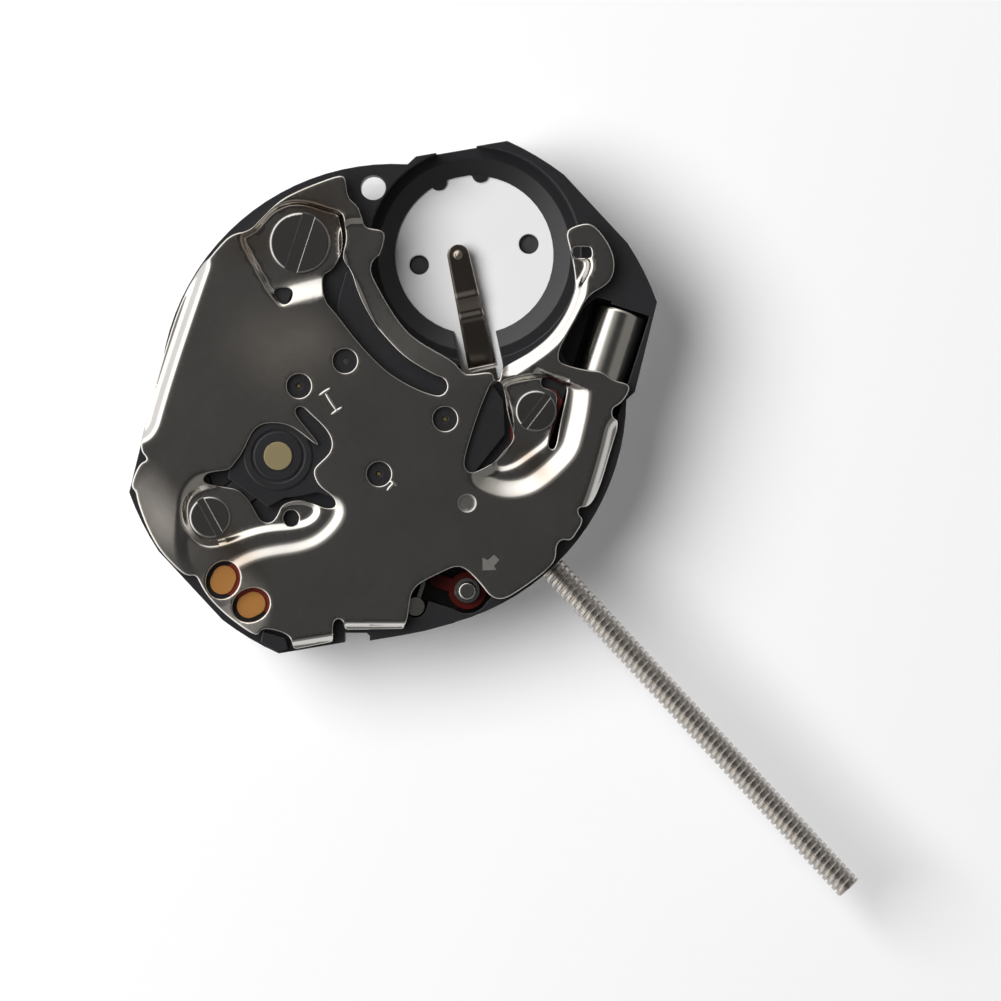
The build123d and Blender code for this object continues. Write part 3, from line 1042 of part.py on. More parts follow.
def make_clutch_wheel():
    """Clutch wheel, which slides on the stem's square and turns with it."""
    clutch = rod(CLUTCH_RADIUS, CLUTCH_START, CLUTCH_START + CLUTCH_LENGTH, STEM_HEIGHT)
    groove = rod(CLUTCH_RADIUS + OVERRUN, CLUTCH_GROOVE_START, CLUTCH_GROOVE_START + CLUTCH_GROOVE_WIDTH, STEM_HEIGHT)
    groove -= rod(CLUTCH_GROOVE_RADIUS, CLUTCH_START, CLUTCH_START + CLUTCH_LENGTH, STEM_HEIGHT)
    clutch -= groove
    gap = 2 * pi * CLUTCH_RADIUS / CLUTCH_TEETH / 2
    for number in range(CLUTCH_TEETH):
        notch = Box(2 * CLUTCH_TOOTH_DEPTH, gap, CLUTCH_RADIUS, align=(Align.CENTER, Align.CENTER, Align.MIN))
        turned = Pos(CLUTCH_START, 0, STEM_HEIGHT) * Rot(360 * number / CLUTCH_TEETH, 0, 0)
        clutch -= turned * Pos(0, 0, CLUTCH_GROOVE_RADIUS) * notch
    side = 2 * (SQUARE_HALF + RUNNING_CLEARANCE)
    hole = Box(CLUTCH_LENGTH + 2 * OVERRUN, side, side, align=(Align.MIN, Align.CENTER, Align.CENTER))
    return clutch - Pos(CLUTCH_START - OVERRUN, 0, STEM_HEIGHT) * hole


def make_setting_lever_post():
    """Post that the setting lever turns on; pressed, its collar takes the lever off the stem."""
    post = disc(LEVER_POST, LEVER_POST_RADIUS, LEVER_POST_BOTTOM, LEVER_POST_TOP)
    post = fillet(post.edges().group_by(Axis.Z)[-1], LEVER_POST_RADIUS / 4)
    collar_bottom = LEVER_BOTTOM + LEVER_THICKNESS + RUNNING_CLEARANCE
    return post + disc(LEVER_POST, LEVER_COLLAR_RADIUS, collar_bottom, collar_bottom + LEVER_COLLAR_HEIGHT)


def make_setting_lever():
    """Setting lever under the stem, its peg in the stem's neck."""
    top = LEVER_BOTTOM + LEVER_THICKNESS
    shoulder = (LEVER_NOSE_X, LEVER_ARM_END_Y)
    nose = (LEVER_NOSE_X, 0)
    lever = disc(LEVER_POST, LEVER_EYE_RADIUS, LEVER_BOTTOM, top)
    lever += strip([LEVER_POST, shoulder], LEVER_ARM_WIDTH, LEVER_BOTTOM, top)
    lever += strip([shoulder, nose], LEVER_NOSE_WIDTH, LEVER_BOTTOM, top)
    lever += disc(nose, LEVER_PEG_RADIUS, LEVER_BOTTOM, LEVER_PEG_TOP)
    lever += strip([LEVER_POST, LEVER_TAIL], LEVER_ARM_WIDTH, LEVER_BOTTOM, top)
    return lever - disc(LEVER_POST, LEVER_POST_RADIUS + RUNNING_CLEARANCE, 0, COVER_TOP)


def make_yoke():
    """Yoke, its tip in the clutch wheel's groove."""
    top = YOKE_BOTTOM + YOKE_THICKNESS
    elbow = (YOKE_TIP_X, LEVER_ARM_END_Y)
    tip = (YOKE_TIP_X, -CLUTCH_GROOVE_RADIUS - YOKE_TIP_GAP - YOKE_TIP_WIDTH / 2)
    yoke = strip([YOKE_PIVOT, elbow], YOKE_ARM_WIDTH, YOKE_BOTTOM, top)
    yoke += strip([elbow, tip], YOKE_TIP_WIDTH, YOKE_BOTTOM, top)
    yoke += disc(YOKE_PIVOT, YOKE_EYE_RADIUS, YOKE_BOTTOM, top)
    return yoke - disc(YOKE_PIVOT, LEVER_PIN_RADIUS + RUNNING_CLEARANCE, 0, COVER_TOP)


def make_reset_lever():
    """Reset lever, which stops the seconds wheel while the hands are set."""
    top = RESET_BOTTOM + RESET_THICKNESS
    lever = strip([RESET_PIVOT, RESET_TIP], RESET_WIDTH, RESET_BOTTOM, top)
    lever += disc(RESET_PIVOT, 2 * LEVER_PIN_RADIUS, RESET_BOTTOM, top)
    return lever - disc(RESET_PIVOT, LEVER_PIN_RADIUS + RUNNING_CLEARANCE, 0, COVER_TOP)


def make_lever_pins():
    """Pin of the yoke in the plate, and the cover's stud with its foot for the reset lever."""
    pin = disc(YOKE_PIVOT, LEVER_PIN_RADIUS, YOKE_FLOOR - PIN_DEPTH, RIM_HEIGHT)
    foot_top = RESET_BOTTOM - RUNNING_CLEARANCE
    stud = disc(RESET_PIVOT, STUD_FOOT_RADIUS, foot_top - STUD_FOOT_THICKNESS, foot_top)
    stud += disc(RESET_PIVOT, LEVER_PIN_RADIUS, foot_top, COVER_BOTTOM)
    return Compound(children=[pin, stud])


def make_jumper_spring():
    """Leaf that holds the setting lever in its two places."""
    top = LEVER_BOTTOM + LEVER_THICKNESS
    spring = strip([JUMPER_START, JUMPER_END], JUMPER_WIDTH, LEVER_BOTTOM, top)
    return spring + disc(JUMPER_START, JUMPER_FOOT_RADIUS, LEVER_ROOM_FLOOR, JUMPER_FOOT_TOP)


# Battery contact
def spring_frame():
    """Location at the spring's root, X along the spring to its tip."""
    root = place(SPRING_ROOT_PX)
    return Pos(root[0], root[1], SPRING_ROOT_HEIGHT) * Rot(0, 0, heading(root, place(SPRING_TIP_PX)))


def make_battery_contact_spring():
    """Leaf that presses on the battery's negative face, with a rounded root and tip."""
    length = distance(place(SPRING_ROOT_PX), place(SPRING_TIP_PX))
    lower = [(length * along, SPRING_RISE * rise) for along, rise in SPRING_RISE_SHARES]
    upper = [(x, z + SPRING_THICKNESS) for x, z in reversed(lower)]
    side = make_face(Polyline(*[(x, 0, z) for x, z in lower + upper], close=True))
    leaf = extrude(side, SPRING_WIDTH / 2, both=True)
    tip, tip_height = lower[-1]
    leaf += disc((tip, 0), SPRING_WIDTH / 2, tip_height, tip_height + SPRING_THICKNESS)
    leaf += Pos(0, 0, SPRING_THICKNESS / 2) * Rot(90, 0, 0) * Cylinder(SPRING_THICKNESS / 2, SPRING_WIDTH)
    return spring_frame() * leaf


def make_battery_contact_foot():
    """Fixed foot of the contact spring."""
    foot = Box(SPRING_FOOT_LENGTH, SPRING_WIDTH, SPRING_THICKNESS, align=(Align.MAX, Align.CENTER, Align.MIN))
    return spring_frame() * Pos(-SPRING_THICKNESS / 2 - RUNNING_CLEARANCE, 0, 0) * foot


# Cover and screws
def cover_face():
    """Whole sheet seen from above."""
    face = patch(COVER_PX)
    for window in COVER_WINDOWS_PX:
        face -= patch(window)
    return face


def sloped_flange(start, end, reach):
    """Strip that leans out and down from a bend line."""
    length = distance(start, end)
    section = [(0, 0), (0, -COVER_THICKNESS), (reach, -COVER_THICKNESS - FLANGE_DROP), (reach, -FLANGE_DROP)]
    side = make_face(Polyline(*[(0, y, z) for y, z in section], close=True))
    strip_solid = extrude(side, length, dir=(1, 0, 0))
    return Pos(start[0], start[1], COVER_TOP) * Rot(0, 0, heading(start, end)) * strip_solid


def pressed_down(whole, pixels, bottom):
    """A pressed-down part of the sheet and the steep walls round it."""
    region = patch(pixels)
    ring = offset(region, COVER_THICKNESS / 2) - offset(region, -COVER_THICKNESS / 2)
    return slab(whole & region, bottom, bottom + COVER_THICKNESS) + slab(whole & ring, bottom, COVER_TOP)


def make_cover_plate():
    """Nickel-plated sheet: flat, with pressed-down parts at the screws and bent flanges."""
    whole = cover_face()
    cover = slab(whole, COVER_BOTTOM, COVER_TOP)
    for pixels in LOW_PARTS_PX:
        cover = cover - slab(patch(pixels), 0, COVER_TOP + OVERRUN) + pressed_down(whole, pixels, LOW_BOTTOM)
    cover = cover - slab(patch(ARM_LOW_PX), 0, COVER_TOP + OVERRUN) + pressed_down(whole, ARM_LOW_PX, ARM_BOTTOM)
    for (start, end), reach in zip(FLANGES_PX, FLANGE_REACHES):
        cover += sloped_flange(place(start), place(end), reach)
    wall = [place(pixel) for pixel in CLAMP_WALL_PX]
    cover += strip(wall, COVER_THICKNESS, COVER_BOTTOM - CLAMP_WALL_DROP, COVER_TOP)
    for pixel in PIVOT_HOLES_PX:
        cover -= disc(place(pixel), PIVOT_HOLE_RADIUS, 0, COVER_TOP + OVERRUN)
    cover -= disc(place(GUIDE_HOLE_PX), GUIDE_HOLE_RADIUS, 0, COVER_TOP + OVERRUN)
    for pixel in (LARGE_SCREW_PX, SMALL_SCREW_PX, CLAMP_SCREW_PX):
        cover -= disc(place(pixel), SHANK_RADIUS, 0, COVER_TOP + OVERRUN)
    for number in range(len(PADS_PX)):
        cover -= pad_shape(number, PAD_HOLE_MARGIN, 0, COVER_TOP + OVERRUN)
    return cover


def slotted_screw(pixel, head_radius, head_height, slot_width, slot_angle):
    """Cheese-head screw through the cover."""
    centre = place(pixel)
    head_top = LOW_TOP + head_height
    head = disc(centre, head_radius, LOW_TOP, head_top)
    head = fillet(head.edges().group_by(Axis.Z)[-1], head_height / 4)
    slot = Box(3 * head_radius, slot_width, 2 * head_height * SLOT_DEPTH_SHARE)
    head -= Pos(centre[0], centre[1], head_top) * Rot(0, 0, slot_angle) * slot
    return head + disc(centre, SHANK_RADIUS, LOW_TOP - SHANK_LENGTH, LOW_TOP)


def make_large_cover_screw():
    """Large slotted screw."""
    return slotted_screw(LARGE_SCREW_PX, LARGE_HEAD_RADIUS, LARGE_HEAD_HEIGHT, LARGE_SLOT_WIDTH, LARGE_SLOT_ANGLE)


def make_small_cover_screw():
    """Small slotted screw by the pads."""
    return slotted_screw(SMALL_SCREW_PX, SMALL_HEAD_RADIUS, SMALL_HEAD_HEIGHT, SMALL_SLOT_WIDTH, SMALL_SLOT_ANGLE)


def make_clamp_screw():
    """Small slotted screw by the crystal."""
    return slotted_screw(CLAMP_SCREW_PX, SMALL_HEAD_RADIUS, SMALL_HEAD_HEIGHT, SMALL_SLOT_WIDTH, CLAMP_SLOT_ANGLE)


NODES = {
    "main_plate": make_main_plate,
    "dial_side_plate": make_dial_side_plate,
    "dial_side_screws": make_dial_side_screws,
    "train_bridge": make_train_bridge,
    "rotor_bush": make_rotor_bush,
    "cover_plate": make_cover_plate,
    "large_cover_screw": make_large_cover_screw,
    "small_cover_screw": make_small_cover_screw,
    "clamp_screw": make_clamp_screw,
    "circuit_board": make_circuit_board,
    "chip": lambda: chip_block(0),
    "test_pads": make_test_pads,
    "crystal_can": make_crystal_can,
    "crystal_leads": make_crystal_leads,
    "coil_core": make_coil_core,
    "coil_winding": make_coil_winding,
    "coil_flanges": make_coil_flanges,
    "stator": make_stator,
    "rotor_magnet": make_rotor_magnet,
    "rotor_pinion": make_rotor_pinion,
    "intermediate_wheel": make_intermediate_wheel,
    "fifth_wheel": make_fifth_wheel,
    "fifth_wheel_stud": make_fifth_wheel_stud,
    "seconds_wheel": make_seconds_wheel,
    "third_wheel": make_third_wheel,
    "centre_wheel": make_centre_wheel,
    "cannon_pinion": make_cannon_pinion,
    "hour_wheel": make_hour_wheel,
    "minute_wheel": make_minute_wheel,
    "setting_wheel": make_setting_wheel,
    "setting_wheel_pin": make_setting_wheel_pin,
    "clutch_wheel": make_clutch_wheel,
    "stem": make_stem,
    "setting_lever_post": make_setting_lever_post,
    "setting_lever": make_setting_lever,
    "yoke": make_yoke,
    "reset_lever": make_reset_lever,
    "lever_pins": make_lever_pins,
    "jumper_spring": make_jumper_spring,
    "battery_contact_spring": make_battery_contact_spring,
    "battery_contact_foot": make_battery_contact_foot,
}

os.makedirs("parts", exist_ok=True)
for name, make in NODES.items():
    export_step(make(), "parts/" + name + ".step")
    print(name)
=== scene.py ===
from math import cos, pi, radians, sin

import bpy
import numpy as np
from mathutils import Matrix, Vector
from mathutils.geometry import delaunay_2d_cdt


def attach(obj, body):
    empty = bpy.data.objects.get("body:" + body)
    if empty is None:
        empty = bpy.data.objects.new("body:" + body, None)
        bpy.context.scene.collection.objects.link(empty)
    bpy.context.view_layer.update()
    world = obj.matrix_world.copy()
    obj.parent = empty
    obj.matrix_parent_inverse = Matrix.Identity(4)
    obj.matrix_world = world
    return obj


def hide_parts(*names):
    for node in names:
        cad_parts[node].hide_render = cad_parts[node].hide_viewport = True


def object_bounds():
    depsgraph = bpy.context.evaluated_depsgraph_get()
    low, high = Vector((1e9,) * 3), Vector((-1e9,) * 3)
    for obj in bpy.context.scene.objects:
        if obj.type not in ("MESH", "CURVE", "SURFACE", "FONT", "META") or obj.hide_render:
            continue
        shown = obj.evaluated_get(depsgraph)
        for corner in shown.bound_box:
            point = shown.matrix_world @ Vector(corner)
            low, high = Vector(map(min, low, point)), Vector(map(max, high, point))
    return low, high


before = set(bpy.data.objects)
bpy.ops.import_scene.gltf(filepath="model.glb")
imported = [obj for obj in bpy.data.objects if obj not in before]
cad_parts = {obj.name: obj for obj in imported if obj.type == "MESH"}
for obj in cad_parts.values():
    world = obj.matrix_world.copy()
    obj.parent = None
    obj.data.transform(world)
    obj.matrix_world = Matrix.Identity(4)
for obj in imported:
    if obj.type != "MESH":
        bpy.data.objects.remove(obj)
cad_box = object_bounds()

# Camera, straight above the battery side at the photograph's turn. Sizes are written in
# millimetres, and MM takes them to metres. Places read in the photograph stay in its pixels.
MM = 0.001
MM_PER_PX = 18.05 / 554.1
CENTRE_PX = (392.9, 397.0)
STEM_ANGLE = radians(47.1)
PICTURE_WIDTH_PX = 1001
CAMERA_HEIGHT = 300.0
SHEET_LEVEL = 2.6
SENSOR = 36.0
CLIP_START = 0.01


def place(pixel):
    """Millimetres in the movement's frame for a pixel: shifted to the hands' axis and turned."""
    right = (pixel[0] - CENTRE_PX[0]) * MM_PER_PX
    down = (pixel[1] - CENTRE_PX[1]) * MM_PER_PX
    c, s = cos(STEM_ANGLE), sin(STEM_ANGLE)
    return (right * c + down * s, right * s - down * c)


def add_camera():
    data = bpy.data.cameras.new("photo_camera")
    data.sensor_fit = "HORIZONTAL"
    data.sensor_width = SENSOR
    data.lens = SENSOR * CAMERA_HEIGHT / (PICTURE_WIDTH_PX * MM_PER_PX)
    data.clip_start = CLIP_START
    camera = bpy.data.objects.new("photo_camera", data)
    bpy.context.collection.objects.link(camera)
    right = Vector((cos(STEM_ANGLE), sin(STEM_ANGLE), 0))
    back = Vector((0, 0, 1))
    up = back.cross(right)
    middle = place((PICTURE_WIDTH_PX / 2, PICTURE_WIDTH_PX / 2))
    spot = Vector((*middle, SHEET_LEVEL + CAMERA_HEIGHT)) * MM
    camera.matrix_world = Matrix.Translation(spot) @ Matrix((right, up, back)).transposed().to_4x4()
    bpy.context.scene.camera = camera


add_camera()
bpy.context.scene.view_settings.view_transform = "Standard"

# Studio: white paper below, a soft lamp to the left and plain light all round. Metal sees a
# bright wall on the lamp's side, a dim one opposite, and a dark ceiling, which comes in between
# CEILING_START and CEILING_FULL, the heights of a direction one long. The stops run from 0,
# away from BRIGHT_SIDE, to 1, towards it.
AMBIENT = 0.15
LAMP_WATTS = 0.79
LAMP_DIRECTION = (-1.0, -0.55, 1.60)
LAMP_DISTANCE = 260
LAMP_WIDTH = 220
LAMP_TARGET = (3, 0, 1)
BRIGHT_SIDE = (-0.94, -0.342, 0.0)
WALL_STOPS = [
    (0.10, (0.22, 0.215, 0.205)), (0.45, (0.27, 0.262, 0.25)), (0.56, (0.55, 0.53, 0.50)),
    (0.66, (1.35, 1.32, 1.28)), (0.80, (2.10, 2.06, 2.00)),
]
CEILING_STOPS = [
    (0.455, (0.043, 0.043, 0.043)), (0.54, (0.085, 0.083, 0.081)), (0.61, (0.30, 0.29, 0.28)),
]
CEILING_START = 0.80
CEILING_FULL = 0.93
PAPER_COLOUR = (0.97, 0.97, 0.975, 1)
PAPER_GLOW = 0.08
PAPER_ROUGHNESS = 0.9
PAPER_SIZE = 2.0


def colour_ramp(nodes, stops):
    """Ramp node with a colour at each place."""
    ramp = nodes.new("ShaderNodeValToRGB")
    elements = ramp.color_ramp.elements
    while len(elements) < len(stops):
        elements.new(0.5)
    for element, (position, colour) in zip(elements, stops):
        element.position = position
        element.color = (*colour, 1)
    return ramp


def add_world():
    world = bpy.data.worlds.new("studio")
    bpy.context.scene.world = world
    world.use_nodes = True
    nodes, links = world.node_tree.nodes, world.node_tree.links
    nodes.clear()
    out = nodes.new("ShaderNodeOutputWorld")
    light = nodes.new("ShaderNodeBackground")
    light.inputs["Strength"].default_value = AMBIENT
    mirror = nodes.new("ShaderNodeBackground")
    choose = nodes.new("ShaderNodeMixShader")
    path = nodes.new("ShaderNodeLightPath")
    coords = nodes.new("ShaderNodeTexCoord")
    parts = nodes.new("ShaderNodeSeparateXYZ")
    side = nodes.new("ShaderNodeVectorMath")
    side.operation = "DOT_PRODUCT"
    side.inputs[1].default_value = BRIGHT_SIDE
    half = nodes.new("ShaderNodeMath")
    half.operation = "MULTIPLY_ADD"
    half.inputs[1].default_value = 0.5
    half.inputs[2].default_value = 0.5
    walls = colour_ramp(nodes, WALL_STOPS)
    ceiling = colour_ramp(nodes, CEILING_STOPS)
    height = nodes.new("ShaderNodeMapRange")
    height.interpolation_type = "SMOOTHSTEP"
    height.inputs["From Min"].default_value = CEILING_START
    height.inputs["From Max"].default_value = CEILING_FULL
    sky = nodes.new("ShaderNodeMix")
    sky.data_type = "RGBA"
    links.new(coords.outputs["Generated"], parts.inputs[0])
    links.new(coords.outputs["Generated"], side.inputs[0])
    links.new(side.outputs["Value"], half.inputs[0])
    links.new(half.outputs[0], walls.inputs[0])
    links.new(half.outputs[0], ceiling.inputs[0])
    links.new(parts.outputs["Z"], height.inputs["Value"])
    links.new(height.outputs[0], sky.inputs["Factor"])
    links.new(walls.outputs["Color"], sky.inputs["A"])
    links.new(ceiling.outputs["Color"], sky.inputs["B"])
    links.new(sky.outputs["Result"], mirror.inputs["Color"])
    links.new(path.outputs["Is Glossy Ray"], choose.inputs[0])
    links.new(light.outputs[0], choose.inputs[1])
    links.new(mirror.outputs[0], choose.inputs[2])
    links.new(choose.outputs[0], out.inputs[0])


def add_lamp():
    data = bpy.data.lights.new("left_lamp", "AREA")
    data.shape = "DISK"
    data.size = LAMP_WIDTH * MM
    data.energy = LAMP_WATTS
    lamp = bpy.data.objects.new("left_lamp", data)
    bpy.context.collection.objects.link(lamp)
    aim = Vector(LAMP_DIRECTION).normalized()
    lamp.location = (Vector(LAMP_TARGET) + aim * LAMP_DISTANCE) * MM
    lamp.rotation_euler = aim.to_track_quat("Z", "Y").to_euler()
    lamp.visible_glossy = False


def add_paper():
    bpy.ops.mesh.primitive_plane_add(size=PAPER_SIZE, location=(0, 0, cad_box[0][2]))
    paper = bpy.context.object
    paper.name = "paper"
    mat = bpy.data.materials.new("paper")
    mat.use_nodes = True
    nodes, links = mat.node_tree.nodes, mat.node_tree.links
    shader = nodes["Principled BSDF"]
    shader.inputs["Base Color"].default_value = PAPER_COLOUR
    shader.inputs["Roughness"].default_value = PAPER_ROUGHNESS
    shader.inputs["Specular IOR Level"].default_value = 0.0
    path = nodes.new("ShaderNodeLightPath")
    seen = nodes.new("ShaderNodeMath")
    seen.operation = "MAXIMUM"
    glow = nodes.new("ShaderNodeMath")
    glow.operation = "MULTIPLY"
    glow.inputs[1].default_value = PAPER_GLOW
    shine = nodes.new("ShaderNodeEmission")
    both = nodes.new("ShaderNodeAddShader")
    links.new(path.outputs["Is Camera Ray"], seen.inputs[0])
    links.new(path.outputs["Is Glossy Ray"], seen.inputs[1])
    links.new(seen.outputs[0], glow.inputs[0])
    links.new(glow.outputs[0], shine.inputs["Strength"])
    links.new(shader.outputs[0], both.inputs[0])
    links.new(shine.outputs[0], both.inputs[1])
    links.new(both.outputs[0], nodes["Material Output"].inputs[0])
    paper.data.materials.append(mat)


add_world()
add_lamp()
add_paper()


# Main plate: one moulding in black plastic with a satin skin, its corners slightly rubbed. The
# noises and the finish are made here, and every later piece takes its own values of them. Each
# noise has its stretch, its size on a scale of one to a millimetre, and its turn in degrees.
NOISE_KINDS = [
    ("Fine", (1, 1, 1), 14.0, 0.0), ("Coarse", (1, 1, 1), 0.35, 0.0),
    ("Streaks", (0.25, 4.0, 1), 6.0, 40.0),
]
NOISE_DETAIL = 4.0
BEVEL_SAMPLES = 6
WEAR_COSINES = (0.99, 0.80)
WEAR_GAIN = 2.2
WEAR_LIFT = 0.03
MICROMETRE = 1e-6
PLASTIC_SPECULAR = 0.7


def make_noise_group():
    """Three noises on object coordinates in millimetres: fine grain, broad clouds and streaks."""
    group = bpy.data.node_groups.new("surface_noise", "ShaderNodeTree")
    group.interface.new_socket("Size", in_out="INPUT", socket_type="NodeSocketFloat")
    for name, *_ in NOISE_KINDS:
        group.interface.new_socket(name, in_out="OUTPUT", socket_type="NodeSocketFloat")
    nodes, links = group.nodes, group.links
    start = nodes.new("NodeGroupInput")
    end = nodes.new("NodeGroupOutput")
    coords = nodes.new("ShaderNodeTexCoord")
    scale = nodes.new("ShaderNodeVectorMath")
    scale.operation = "SCALE"
    scale.inputs["Scale"].default_value = 1 / MM
    links.new(coords.outputs["Object"], scale.inputs[0])
    for name, stretch, size, turn in NOISE_KINDS:
        turned = nodes.new("ShaderNodeMapping")
        turned.inputs["Rotation"].default_value = (0, 0, radians(turn))
        turned.inputs["Scale"].default_value = stretch
        noise = nodes.new("ShaderNodeTexNoise")
        noise.inputs["Detail"].default_value = NOISE_DETAIL
        times = nodes.new("ShaderNodeMath")
        times.operation = "MULTIPLY"
        times.inputs[1].default_value = size
        links.new(scale.outputs[0], turned.inputs["Vector"])
        links.new(turned.outputs[0], noise.inputs["Vector"])
        links.new(start.outputs["Size"], times.inputs[0])
        links.new(times.outputs[0], noise.inputs["Scale"])
        links.new(noise.outputs["Fac"], end.inputs[name])
    return group


NOISE = make_noise_group()


def mixed(nodes, links, factor, first, second):
    """Colour between two colours or sockets, by a mask."""
    mix = nodes.new("ShaderNodeMix")
    mix.data_type = "RGBA"
    links.new(factor, mix.inputs["Factor"])
    for socket, value in (("A", first), ("B", second)):
        if isinstance(value, tuple):
            mix.inputs[socket].default_value = (*value, 1)
        else:
            links.new(value, mix.inputs[socket])
    return mix.outputs["Result"]


def ranged(nodes, links, value, low, high, start=0.0, end=1.0):
    """A value taken from one range to another."""
    node = nodes.new("ShaderNodeMapRange")
    node.inputs["From Min"].default_value = start
    node.inputs["From Max"].default_value = end
    node.inputs["To Min"].default_value = low
    node.inputs["To Max"].default_value = high
    links.new(value, node.inputs["Value"])
    return node.outputs[0]


def finish(name, dark, light, rough, metallic=0.0, bump=1.0, streak=0.0, edge=0.04, wear=0.0):
    """Material whose colour clouds, whose roughness and bump have grain, and whose edges look
    rounded. Wear lightens the edges: the flat normal parts from the rounded one only there. The
    bump is in micrometres and the edge's radius in millimetres."""
    mat = bpy.data.materials.new(name)
    mat.use_nodes = True
    nodes, links = mat.node_tree.nodes, mat.node_tree.links
    shader = nodes["Principled BSDF"]
    shader.inputs["Metallic"].default_value = metallic
    noise = nodes.new("ShaderNodeGroup")
    noise.name = "noise"
    noise.node_tree = NOISE
    noise.inputs["Size"].default_value = 1.0
    colour = mixed(nodes, links, noise.outputs["Coarse"], dark, light)
    rounded = nodes.new("ShaderNodeBevel")
    rounded.samples = BEVEL_SAMPLES
    rounded.inputs["Radius"].default_value = edge * MM
    if wear:
        geometry = nodes.new("ShaderNodeNewGeometry")
        dot = nodes.new("ShaderNodeVectorMath")
        dot.operation = "DOT_PRODUCT"
        links.new(geometry.outputs["True Normal"], dot.inputs[0])
        links.new(rounded.outputs[0], dot.inputs[1])
        mask = ranged(nodes, links, dot.outputs["Value"], 0.0, wear, *WEAR_COSINES)
        rubbed = tuple(min(1.0, WEAR_GAIN * c + WEAR_LIFT) for c in light)
        colour = mixed(nodes, links, mask, colour, rubbed)
    links.new(colour, shader.inputs["Base Color"])
    grain = noise.outputs["Streaks" if streak else "Fine"]
    links.new(ranged(nodes, links, grain, *rough), shader.inputs["Roughness"])
    height = nodes.new("ShaderNodeMix")
    height.inputs["Factor"].default_value = streak
    links.new(noise.outputs["Fine"], height.inputs["A"])
    links.new(noise.outputs["Streaks"], height.inputs["B"])
    relief = nodes.new("ShaderNodeBump")
    relief.name = "relief"
    relief.inputs["Strength"].default_value = 1.0
    relief.inputs["Distance"].default_value = bump * MICROMETRE
    links.new(height.outputs["Result"], relief.inputs["Height"])
    links.new(rounded.outputs[0], relief.inputs["Normal"])
    links.new(relief.outputs[0], shader.inputs["Normal"])
    return mat


def dress(material, *nodes):
    """Gives nodes of the frame their finish."""
    for name in nodes:
        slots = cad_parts[name].data.materials
        slots.clear()
        slots.append(material)


black_plastic = finish(
    "black_plastic", (0.006, 0.006, 0.007), (0.012, 0.012, 0.015), (0.34, 0.50), bump=3.0,
    edge=0.05, wear=0.4)
plastic_shader = black_plastic.node_tree.nodes["Principled BSDF"]
plastic_shader.inputs["Specular IOR Level"].default_value = PLASTIC_SPECULAR
dress(black_plastic, "main_plate", "coil_flanges")

# Dial side: a white plate, seen through the battery well, with three flush screws. Its two
# small holes are closed below by painted shade: a thin dished dark disc in each stands in for the
# shadow under the movement.
SHADE_DISC_PX = [(418.5, 263), (529, 242)]
SHADE_DISC_PROFILE = [
    (0.0, 0.11), (0.12, 0.105), (0.24, 0.09), (0.32, 0.06), (0.32, 0.03), (0.0, 0.03),
]


def add_mesh(name, points, faces, body, material, smooth=True):
    """Object from points in millimetres and faces, riding on a body of the frame."""
    mesh = bpy.data.meshes.new(name)
    mesh.from_pydata((np.asarray(points, float) * MM).tolist(), [], faces)
    mesh.validate()
    mesh.polygons.foreach_set("use_smooth", [smooth] * len(mesh.polygons))
    mesh.materials.append(material)
    obj = bpy.data.objects.new(name, mesh)
    bpy.context.collection.objects.link(obj)
    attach(obj, body)
    return obj


def turned_shape(profile, centre, count=32):
    """Profile of radius and height turned about an upright axis. Its ends lie on the axis."""
    angles = np.linspace(0, 2 * pi, count, endpoint=False)
    rows = np.array(profile[1:-1])
    x = centre[0] + rows[:, :1] * np.cos(angles)
    y = centre[1] + rows[:, :1] * np.sin(angles)
    z = np.repeat(rows[:, 1:], count, axis=1)
    points = np.stack([x, y, z], -1).reshape(-1, 3)
    ends = [(*centre, profile[0][1]), (*centre, profile[-1][1])]
    j = np.arange(count)
    k = (j + 1) % count
    top, under = len(points), len(points) + 1
    low = (len(rows) - 1) * count
    faces = [(top, a, b) for a, b in zip(j.tolist(), k.tolist())]
    for i in range(len(rows) - 1):
        upper, lower = i * count, (i + 1) * count
        faces += np.stack([upper + j, lower + j, lower + k, upper + k], 1).tolist()
    faces += [(under, low + b, low + a) for a, b in zip(j.tolist(), k.tolist())]
    return np.vstack([points, ends]), faces


def add_turned(name, shapes, body, material):
    """One object of several turned shapes."""
    points, faces = np.zeros((0, 3)), []
    for profile, centre in shapes:
        more, more_faces = turned_shape(profile, centre)
        faces += [tuple(i + len(points) for i in face) for face in more_faces]
        points = np.vstack([points, more])
    return add_mesh(name, points, faces, body, material)


white_plastic = finish(
    "white_plastic", (0.86, 0.86, 0.865), (0.93, 0.93, 0.93), (0.35, 0.5), bump=2.0)
steel = finish(
    "steel", (0.46, 0.45, 0.44), (0.62, 0.61, 0.59), (0.15, 0.24), 1.0, bump=0.6, streak=0.5)
# Painted shade: the dark discs in the plate's two holes, in place of the shadow below them.
painted_shade_disc = finish("painted_shade_disc", (0.030, 0.030, 0.031), (0.045, 0.045, 0.046), (0.45, 0.6))
dress(white_plastic, "dial_side_plate")
dress(steel, "dial_side_screws")
# The painted shade discs, one in each of the plate's two holes.
shade_discs = [(SHADE_DISC_PROFILE, place(pixel)) for pixel in SHADE_DISC_PX]
hole_shade = add_turned("well_hole_painted_shade", shade_discs, "movement", painted_shade_disc)

# Stepping motor: an enamelled copper coil on a soft-iron core, the stator, and the magnet.
winding = finish(
    "winding", (0.40, 0.13, 0.05), (0.62, 0.26, 0.10), (0.25, 0.4), 0.6, bump=6.0, streak=1.0)
iron = finish("iron", (0.10, 0.10, 0.11), (0.16, 0.16, 0.17), (0.35, 0.5), 1.0, streak=0.5)
magnet = finish("magnet", (0.16, 0.16, 0.17), (0.24, 0.24, 0.25), (0.35, 0.5), 1.0, bump=2.0)
dress(winding, "coil_winding")
dress(iron, "coil_core", "stator")
dress(magnet, "rotor_magnet")

